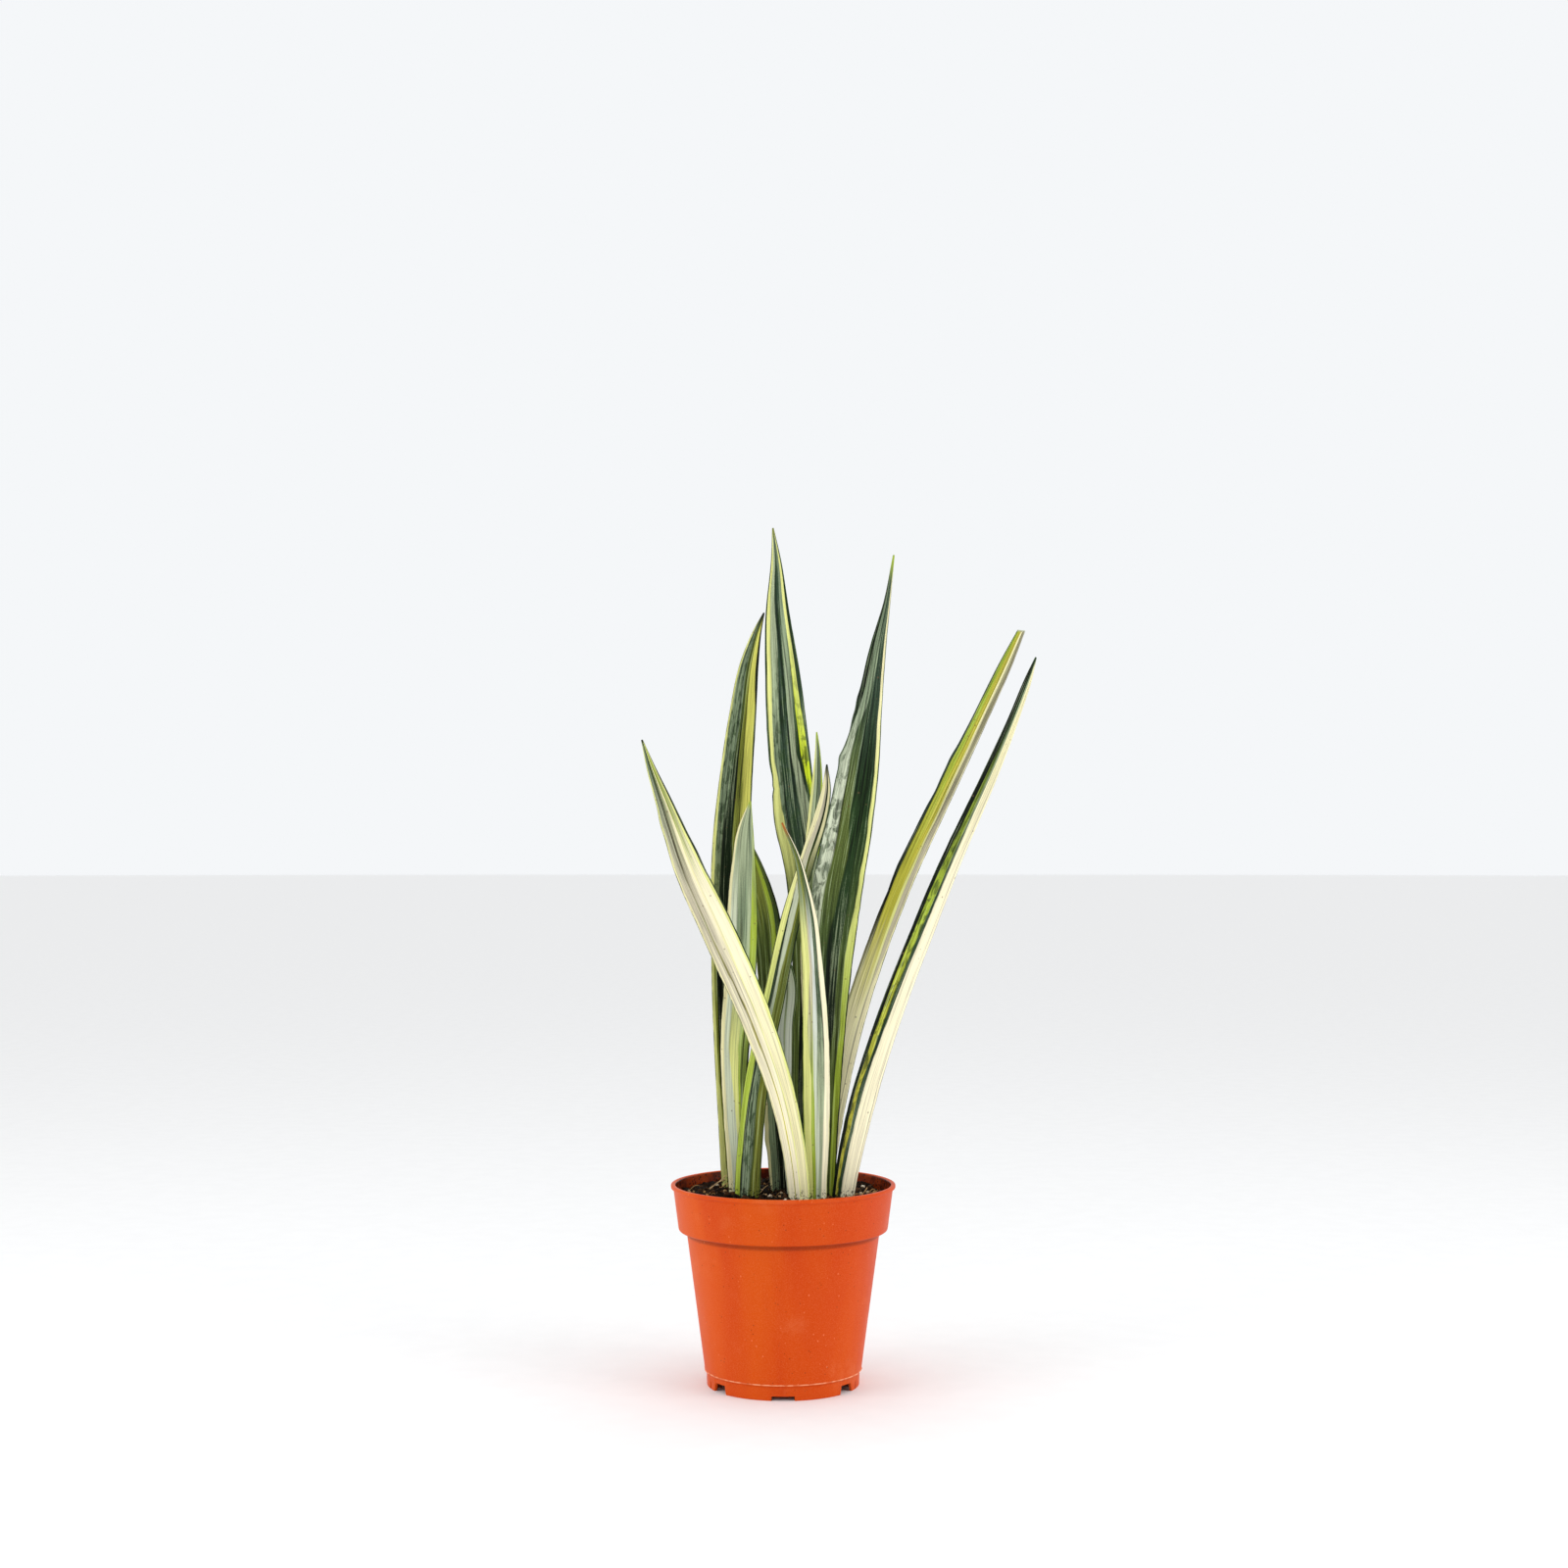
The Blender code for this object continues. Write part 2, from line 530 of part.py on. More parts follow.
def main():
    """Build every piece about the pot's axis, on a stand that sets that axis beside the origin."""
    clear_scene()
    parts = make_collection("potted_snake_plant")
    cutters = make_collection("cutters")
    stand = bpy.data.objects.new("pot_axis", None)
    stand.location = (POT_AXIS_X * MM, POT_AXIS_Y * MM, 0.0)
    parts.objects.link(stand)
    build_pot(parts, cutters, stand)
    cavities = [build_leaf(name, plan, parts, cutters, stand) for name, plan in LEAVES.items()]
    cavities += [build_rhizome(name, plan, parts, cutters, stand) for name, plan in RHIZOMES.items()]
    build_soil(cavities, parts, stand)


main()
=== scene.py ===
"""Looks of a snake plant in a plastic nursery pot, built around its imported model, in metres, +Z up.

Each piece is a surface worked out on a grid: a leaf is a lens-shaped section carried up a curved
middle line, the pot and the soil are profiles turned about the pot's axis. Leaf stripes follow a
stripe coordinate kept in a UV map, so every margin between two colours can wander up the blade.
"""
import json
import bmesh
import bpy
import numpy as np
from bpy.props import FloatProperty, FloatVectorProperty, IntProperty, PointerProperty
from bpy.types import Operator, Panel, PropertyGroup
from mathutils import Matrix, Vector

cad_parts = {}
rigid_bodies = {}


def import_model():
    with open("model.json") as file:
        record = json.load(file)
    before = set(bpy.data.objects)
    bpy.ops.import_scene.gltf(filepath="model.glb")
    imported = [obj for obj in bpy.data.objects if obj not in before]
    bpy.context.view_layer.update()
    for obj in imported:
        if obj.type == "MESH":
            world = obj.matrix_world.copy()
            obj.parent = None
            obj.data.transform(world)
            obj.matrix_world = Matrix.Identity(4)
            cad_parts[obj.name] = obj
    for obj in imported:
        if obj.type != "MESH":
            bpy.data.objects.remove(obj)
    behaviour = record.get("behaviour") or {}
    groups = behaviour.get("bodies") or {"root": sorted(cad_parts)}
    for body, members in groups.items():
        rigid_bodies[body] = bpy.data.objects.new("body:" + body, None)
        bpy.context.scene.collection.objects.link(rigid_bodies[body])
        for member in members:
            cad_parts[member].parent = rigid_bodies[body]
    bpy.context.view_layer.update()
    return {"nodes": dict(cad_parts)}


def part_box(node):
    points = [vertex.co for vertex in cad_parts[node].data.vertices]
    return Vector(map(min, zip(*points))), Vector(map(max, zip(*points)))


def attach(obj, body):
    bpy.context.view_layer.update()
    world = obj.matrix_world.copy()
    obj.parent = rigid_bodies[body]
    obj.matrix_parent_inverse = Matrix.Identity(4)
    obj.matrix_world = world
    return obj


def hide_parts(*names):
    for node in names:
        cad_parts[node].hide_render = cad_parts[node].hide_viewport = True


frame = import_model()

bl_info = {
    "name": "Potted Snake Plant",
    "version": (1, 0, 0),
    "blender": (4, 5, 0),
    "location": "3D View > Sidebar > Plant",
    "description": "Builds the leaves, pot, soil and studio of a potted snake plant",
    "category": "Object",
}

MM = 0.001
POT_LOW, POT_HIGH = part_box("pot")
AXIS_X = (POT_LOW.x + POT_HIGH.x) / 2
AXIS_Y = (POT_LOW.y + POT_HIGH.y) / 2
AXIS = np.array([AXIS_X, AXIS_Y, 0.0])
LEAF_FOOT = 73.4
SOIL_LEVEL = 87.8


# --- Colours -----------------------------------------------------------------------------------
def linear(*levels):
    """Linear light from three 0 to 255 screen levels."""
    share = np.array(levels) / 255.0
    light = np.where(share <= 0.04045, share / 12.92, ((share + 0.055) / 1.055) ** 2.4)
    return tuple(float(value) for value in light)


def shade(label, use, *levels):
    """A colour property, given by its screen levels."""
    return FloatVectorProperty(name=label, description=use, subtype="COLOR", size=3, min=0.0, max=1.0,
                               default=linear(*levels))


def length(label, use, value, low, high):
    """A length property in metres, given in millimetres."""
    return FloatProperty(name=label, description=use, default=value * MM, min=low * MM, max=high * MM,
                         unit="LENGTH")


class PlantLeafColours(PropertyGroup):
    """The stripe colours that the leaves share."""
    ivory: shade("Ivory", "Palest stripes", 244, 236, 201)
    cream: shade("Cream", "Cream stripes", 235, 228, 178)
    butter: shade("Butter", "Pale yellow margins", 226, 228, 142)
    gold: shade("Gold", "Warm yellow band", 208, 206, 100)
    straw: shade("Straw", "Olive yellow band", 190, 184, 66)
    lime: shade("Lime", "Yellow green", 158, 178, 58)
    chartreuse: shade("Chartreuse", "Brightest yellow green", 196, 214, 36)
    leaf: shade("Leaf green", "Clear green", 78, 124, 32)
    olive: shade("Olive", "Dull yellow green", 124, 130, 52)
    moss: shade("Moss", "Dark olive green", 84, 98, 46)
    forest: shade("Forest", "Dark green", 37, 60, 29)
    deep: shade("Deep", "Very dark green", 20, 35, 16)
    ink: shade("Ink", "Nearly black green", 15, 22, 13)
    slate: shade("Slate", "Dark blue green", 50, 68, 52)
    greygreen: shade("Grey green", "Middle grey green", 118, 134, 106)
    sage: shade("Sage", "Light grey green", 164, 176, 142)
    mist: shade("Mist", "Pale grey green", 202, 210, 184)
    silver: shade("Silver", "Silvery strip", 220, 226, 216)
    greige: shade("Greige", "Grey beige streaks", 196, 188, 162)
    taupe: shade("Taupe", "Brown grey streaks", 140, 136, 104)
    brown: shade("Brown", "Thin dark hairlines", 104, 82, 58)
    rust: shade("Rust", "Dry tips and scars", 176, 104, 44)


class PlantLeafShape(PropertyGroup):
    """How finely a leaf is built, and its relief."""
    rings: IntProperty(name="Rings", description="Sections up a leaf", default=200, min=20, max=400)
    sides: IntProperty(name="Sides", description="Points round a section", default=72, min=12, max=160)
    foot_thickness: length("Foot thickness", "Thickness of a leaf at its foot", 3.4, 1, 6)
    tip_thickness: length("Tip thickness", "Thickness of a leaf at its tip", 0.9, 0.3, 3)
    rib: length("Rib", "Height of the lengthwise ribs", 0.09, 0, 1)
    wave: length("Wave", "How far a margin waves in and out", 0.55, 0, 3)


class PlantPotLooks(PropertyGroup):
    """The pot's size, plastic, stains and painted shade."""
    rim_radius: length("Rim radius", "Outer radius of the rolled rim", 52.5, 40, 80)
    height: length("Height", "Height of the pot", 93.2, 60, 150)
    steps: IntProperty(name="Steps", description="Even steps round the pot", default=240, min=48, max=400)
    plastic: shade("Plastic", "Moulded plastic", 214, 81, 3)
    plastic_deep: shade("Deep plastic", "Darker flow marks", 204, 64, 1)
    plastic_pale: shade("Scuffed plastic", "Scuffs and dust", 236, 140, 92)
    # This colour also paints the shade under the band and, together with damp stain, the shade on the inner wall.
    stain_and_shade: shade("Wet stain", "Wet inner wall", 62, 20, 12)
    flash: shade("Flash", "Pale moulding seam above the foot", 246, 176, 132)


class PlantSoilLooks(PropertyGroup):
    """The potting mix and its litter."""
    lump: length("Lump", "Height of the soil's lumps", 1.1, 0, 4)
    chips: IntProperty(name="Bark bits", description="Number of bark bits", default=900, min=0, max=3000)
    grains: IntProperty(name="Perlite", description="Number of perlite grains", default=46, min=0, max=500)
    fibres: IntProperty(name="Fibres", description="Number of fibres", default=90, min=0, max=800)
    earth: shade("Earth", "Dark wet soil", 22, 14, 9)
    crumb: shade("Crumb", "Lighter crumbs", 62, 42, 24)
    bark: shade("Bark", "Bark bits", 70, 44, 24)
    bark_pale: shade("Pale bark", "Dry bark bits", 176, 132, 82)
    perlite: shade("Perlite", "White grains", 236, 228, 208)
    straw_dry: shade("Dry straw", "Dry strands", 214, 178, 132)
    root_skin: shade("Rhizome skin", "Rhizomes and roots", 190, 158, 96)


class PlantStageLooks(PropertyGroup):
    """The plain studio."""
    front_share: FloatProperty(name="Front share", description="How much of the sky's light comes from the front",
                               default=0.62, min=0, max=1)
    floor: shade("Floor", "Pale floor", 250, 251, 252)
    floor_grain: shade("Floor grain", "Faint clouding of the floor", 248, 249, 250)
    backdrop: shade("Backdrop", "Pale background", 245, 247, 249)
    lens: FloatProperty(name="Lens", description="Focal length in millimetres", default=50.87, min=20, max=200)
    distance: length("Distance", "Camera to the pot's axis", 1035.0, 300, 5000)
    eye_height: length("Eye height", "Camera above the floor", 245.5, 0, 2000)
    rise: FloatProperty(name="Rise", description="Share of the frame that the view is raised",
                        default=0.0466, min=0.0, max=0.2)
    side_power: FloatProperty(name="Side lights", description="Watts of each side light", default=4.2, min=0)
    front_power: FloatProperty(name="Front light", description="Watts of the front light", default=0.6, min=0)
    top_power: FloatProperty(name="Top light", description="Watts of the top light", default=1.0, min=0)
    sky: FloatProperty(name="Sky", description="Strength of the even light", default=0.97, min=0)


# --- Meshes from whole arrays ------------------------------------------------------------------
def put_mesh(name, points, quads, triangles=None):
    """A mesh from arrays of points, four-cornered faces and three-cornered faces."""
    triangles = np.zeros((0, 3), int) if triangles is None else triangles
    corners = np.concatenate([quads.ravel(), triangles.ravel()]).astype(np.int32)
    starts = np.concatenate([np.arange(len(quads)) * 4, len(quads) * 4 + np.arange(len(triangles)) * 3])
    mesh = bpy.data.meshes.new(name)
    mesh.vertices.add(len(points))
    mesh.vertices.foreach_set("co", np.ascontiguousarray(points, np.float32).ravel())
    mesh.loops.add(len(corners))
    mesh.loops.foreach_set("vertex_index", corners)
    mesh.polygons.add(len(starts))
    mesh.polygons.foreach_set("loop_start", starts.astype(np.int32))
    mesh.update(calc_edges=True)
    mesh.validate()
    mesh.shade_smooth()
    return mesh


def skin_faces(rings, sides):
    """Faces over a stack of closed rings whose first and last ends are fans to a pole each."""
    row = np.arange(rings - 1)[:, None] * sides
    column = np.arange(sides)[None, :]
    following = (column + 1) % sides
    quads = np.stack([row + following, row + column, row + sides + column, row + sides + following], axis=-1)
    first, last = rings * sides, rings * sides + 1
    top = (rings - 1) * sides
    low_fan = np.stack([column[0], following[0], np.full(sides, first)], axis=-1)
    high_fan = np.stack([top + following[0], top + column[0], np.full(sides, last)], axis=-1)
    return quads.reshape(-1, 4), np.concatenate([low_fan, high_fan])


def skin_mesh(name, rings, first_pole, last_pole):
    """Close a (rings, sides, 3) grid with a pole at each end."""
    points = np.concatenate([rings.reshape(-1, 3), [first_pole], [last_pole]])
    return put_mesh(name, points, *skin_faces(*rings.shape[:2]))


def write_uv(mesh, name, values):
    """A UV map from one pair of numbers for each vertex."""
    corners = np.empty(len(mesh.loops), np.int32)
    mesh.loops.foreach_get("vertex_index", corners)
    layer = mesh.uv_layers.new(name=name)
    layer.uv.foreach_set("vector", np.ascontiguousarray(values[corners], np.float32).ravel())


def add_piece(name, mesh, material, slot, *nodes):
    """Link a finished mesh, ride it on the plant's body and hide the nodes that it stands for."""
    piece = bpy.data.objects.new(name, mesh)
    bpy.context.scene.collection.objects.link(piece)
    mesh.materials.append(material)
    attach(piece, "root")
    if nodes:
        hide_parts(*nodes)
    return piece


def soft_noise(places, seed):
    """Smooth noise from -1 to 1: random values on a unit lattice, blended by eased distance."""
    table = np.random.default_rng(seed).uniform(-1.0, 1.0, (32, 32, 32))
    base = np.floor(places).astype(int)
    part = places - base
    ease = part * part * (3.0 - 2.0 * part)
    total = np.zeros(places.shape[:-1])
    for corner in np.ndindex(2, 2, 2):
        cell = (base + corner) % 32
        weight = np.prod(np.where(np.array(corner) == 1, ease, 1.0 - ease), axis=-1)
        total += weight * table[cell[..., 0], cell[..., 1], cell[..., 2]]
    return total


# --- Shader pieces -----------------------------------------------------------------------------
class Nodes:
    """Short words for adding nodes to a tree and joining them."""

    def __init__(self, tree):
        self.tree = tree

    def add(self, kind, **settings):
        node = self.tree.nodes.new(kind)
        for key, value in settings.items():
            setattr(node, key, value)
        return node

    def feed(self, socket, value):
        """Join an output to a socket, or set the socket's own value."""
        if isinstance(value, bpy.types.NodeSocket):
            self.tree.links.new(value, socket)
        elif value is not None:
            socket.default_value = value

    def math(self, operation, first, second=None, third=None):
        node = self.add("ShaderNodeMath", operation=operation)
        for socket, value in zip(node.inputs, (first, second, third)):
            self.feed(socket, value)
        return node.outputs[0]

    def ramp_between(self, value, low, high, out_low=0.0, out_high=1.0, kind="SMOOTHSTEP"):
        node = self.add("ShaderNodeMapRange", interpolation_type=kind)
        for socket, part in zip(node.inputs, (value, low, high, out_low, out_high)):
            self.feed(socket, part)
        return node.outputs[0]

    def mix(self, factor, first, second, blend="MIX"):
        node = self.add("ShaderNodeMix", data_type="RGBA", blend_type=blend)
        self.feed(node.inputs["Factor"], factor)
        self.feed(node.inputs["A"], first)
        self.feed(node.inputs["B"], second)
        return node.outputs["Result"]

    def scaled(self, vector, scale, place=(0.0, 0.0, 0.0)):
        node = self.add("ShaderNodeMapping")
        self.feed(node.inputs["Vector"], vector)
        node.inputs["Scale"].default_value = scale
        node.inputs["Location"].default_value = place
        return node.outputs[0]

    def noise(self, vector, scale, detail=2.0, roughness=0.5, distortion=0.0):
        node = self.add("ShaderNodeTexNoise")
        for key, value in (("Vector", vector), ("Scale", scale), ("Detail", detail),
                           ("Roughness", roughness), ("Distortion", distortion)):
            self.feed(node.inputs[key], value)
        return node.outputs[0]

    def group(self, tree, **values):
        node = self.add("ShaderNodeGroup", node_tree=tree)
        for key, value in values.items():
            self.feed(node.inputs[key.replace("_", " ")], value)
        return node


def new_group(name, inputs, outputs):
    """A shader node group with named sockets, and its word helper."""
    tree = bpy.data.node_groups.new(name, "ShaderNodeTree")
    for label, kind in inputs:
        tree.interface.new_socket(label, in_out="INPUT", socket_type="NodeSocket" + kind)
    for label, kind in outputs:
        tree.interface.new_socket(label, in_out="OUTPUT", socket_type="NodeSocket" + kind)
    nodes = Nodes(tree)
    return tree, nodes, nodes.add("NodeGroupInput").outputs, nodes.add("NodeGroupOutput").inputs


def colour4(value):
    return (*value, 1.0)


def streak_group():
    """Fine lengthwise fibres: two noises stretched along the blade darken and lighten a colour."""
    tree, n, given, out = new_group(
        "LeafFibres",
        (("Colour", "Color"), ("Blade", "Vector"), ("Thread", "Color"), ("Amount", "Float"), ("Grain", "Float")),
        (("Colour", "Color"), ("Height", "Float")))
    broad = n.noise(n.scaled(given["Blade"], (0.75, 0.012, 1.0)), 1.0, 3.0, 0.6)
    fine = n.noise(n.scaled(given["Blade"], (1.5, 0.03, 1.0), (7.0, 3.0, 0.0)), 1.0, 3.0, 0.65)
    grain = n.noise(n.scaled(given["Blade"], (2.2, 1.1, 1.0)), 1.0, 2.0, 0.7)
    joined = n.math("ADD", n.math("MULTIPLY", broad, 0.5), n.math("MULTIPLY", fine, 0.5))
    centred = n.math("SUBTRACT", joined, 0.5)
    bright = n.add("ShaderNodeRGBToBW")
    n.feed(bright.inputs[0], given["Colour"])
    dimness = n.math("SUBTRACT", 1.0, n.ramp_between(bright.outputs[0], 0.03, 0.85, 0.0, 0.72))
    speck = n.math("MULTIPLY", n.math("SUBTRACT", grain, 0.5), given["Grain"])
    swing = n.math("ADD", n.math("MULTIPLY", centred, n.math("MULTIPLY", given["Amount"], 8.0)), speck)
    gain = n.math("ADD", n.math("MULTIPLY", swing, dimness), 1.0)
    gain = n.math("MINIMUM", n.math("MAXIMUM", gain, 0.20), 2.1)
    scale = n.add("ShaderNodeVectorMath", operation="SCALE")
    n.feed(scale.inputs[0], given["Colour"])
    n.feed(scale.inputs["Scale"], gain)
    thread = n.ramp_between(n.math("ADD", centred, n.math("MULTIPLY", speck, 0.12)), 0.03, 0.13)
    thread = n.math("MULTIPLY", n.math("MULTIPLY", thread, dimness), n.math("MULTIPLY", given["Amount"], 0.62))
    n.feed(out["Colour"], n.mix(thread, scale.outputs[0], given["Thread"]))
    n.feed(out["Height"], joined)
    return tree


def mottle_group():
    """Broken cross bands and dashes of a darker colour, where a mask lets them show."""
    tree, n, given, out = new_group(
        "LeafMottle",
        (("Colour", "Color"), ("Blade", "Vector"), ("Dark", "Color"), ("Amount", "Float"), ("Length", "Float")),
        (("Colour", "Color"),))
    parts = n.add("ShaderNodeSeparateXYZ")
    n.feed(parts.inputs[0], given["Blade"])
    join = n.add("ShaderNodeCombineXYZ")
    n.feed(join.inputs[0], n.math("MULTIPLY", parts.outputs[0], 0.34))
    n.feed(join.inputs[1], n.math("DIVIDE", parts.outputs[1], given["Length"]))
    patch = n.noise(join.outputs[0], 1.0, 4.0, 0.62, 0.6)
    mask = n.ramp_between(patch, 0.44, 0.60)
    n.feed(out["Colour"], n.mix(n.math("MULTIPLY", mask, given["Amount"]), given["Colour"], given["Dark"]))
    return tree


def margin_group():
    """A thin darker line that comes and goes along both margins of the blade."""
    tree, n, given, out = new_group(
        "LeafMargin",
        (("Colour", "Color"), ("Across", "Float"), ("Blade", "Vector"), ("Line", "Color"), ("Width", "Float"),
         ("Amount", "Float")),
        (("Colour", "Color"),))
    near = n.math("MINIMUM", given["Across"], n.math("SUBTRACT", 1.0, given["Across"]))
    drift = n.noise(n.scaled(given["Blade"], (0.05, 0.09, 1.0)), 1.0, 3.0, 0.6)
    reach = n.math("MULTIPLY", given["Width"], n.ramp_between(drift, 0.35, 0.65, 0.25, 1.6))
    mask = n.math("SUBTRACT", 1.0, n.ramp_between(near, n.math("MULTIPLY", reach, 0.5), reach))
    n.feed(out["Colour"], n.mix(n.math("MULTIPLY", mask, given["Amount"]), given["Colour"], given["Line"]))
    return tree


def speckle_group():
    """Small round spots scattered through space, as a mask."""
    tree, n, given, out = new_group(
        "Speckle", (("Place", "Vector"), ("Scale", "Float"), ("Size", "Float")), (("Mask", "Float"),))
    cells = n.add("ShaderNodeTexVoronoi")
    n.feed(cells.inputs["Vector"], given["Place"])
    n.feed(cells.inputs["Scale"], given["Scale"])
    thin = n.noise(given["Place"], n.math("MULTIPLY", given["Scale"], 0.35), 1.0)
    size = n.math("MULTIPLY", given["Size"], n.ramp_between(thin, 0.42, 0.62))
    near = n.ramp_between(cells.outputs["Distance"], n.math("MULTIPLY", size, 0.6), size, 1.0, 0.0)
    n.feed(out["Mask"], n.math("MULTIPLY", near, n.math("GREATER_THAN", size, 0.001)))
    return tree


GROUPS = {"fibres": streak_group, "mottle": mottle_group, "margin": margin_group, "speckle": speckle_group}
made_groups = {}


def effect(name):
    """A shared node group, built the first time that it is asked for."""
    if name not in made_groups:
        made_groups[name] = GROUPS[name]()
    return made_groups[name]


def new_material(name, roughness, specular=0.5, coat=0.0):
    """A material's word helper and its Principled shader."""
    material = bpy.data.materials.new(name)
    material.use_nodes = True
    nodes = Nodes(material.node_tree)
    shader = material.node_tree.nodes["Principled BSDF"]
    shader.inputs["Roughness"].default_value = roughness
    shader.inputs["Specular IOR Level"].default_value = specular
    shader.inputs["Coat Weight"].default_value = coat
    shader.inputs["Coat Roughness"].default_value = 0.25
    return material, nodes, shader


def add_bump(n, shader, height, strength, distance):
    """Feed a height through a Bump node to the shader's normal."""
    bump = n.add("ShaderNodeBump")
    bump.inputs["Strength"].default_value = strength
    bump.inputs["Distance"].default_value = distance
    n.feed(bump.inputs["Height"], height)
    n.feed(shader.inputs["Normal"], bump.outputs[0])


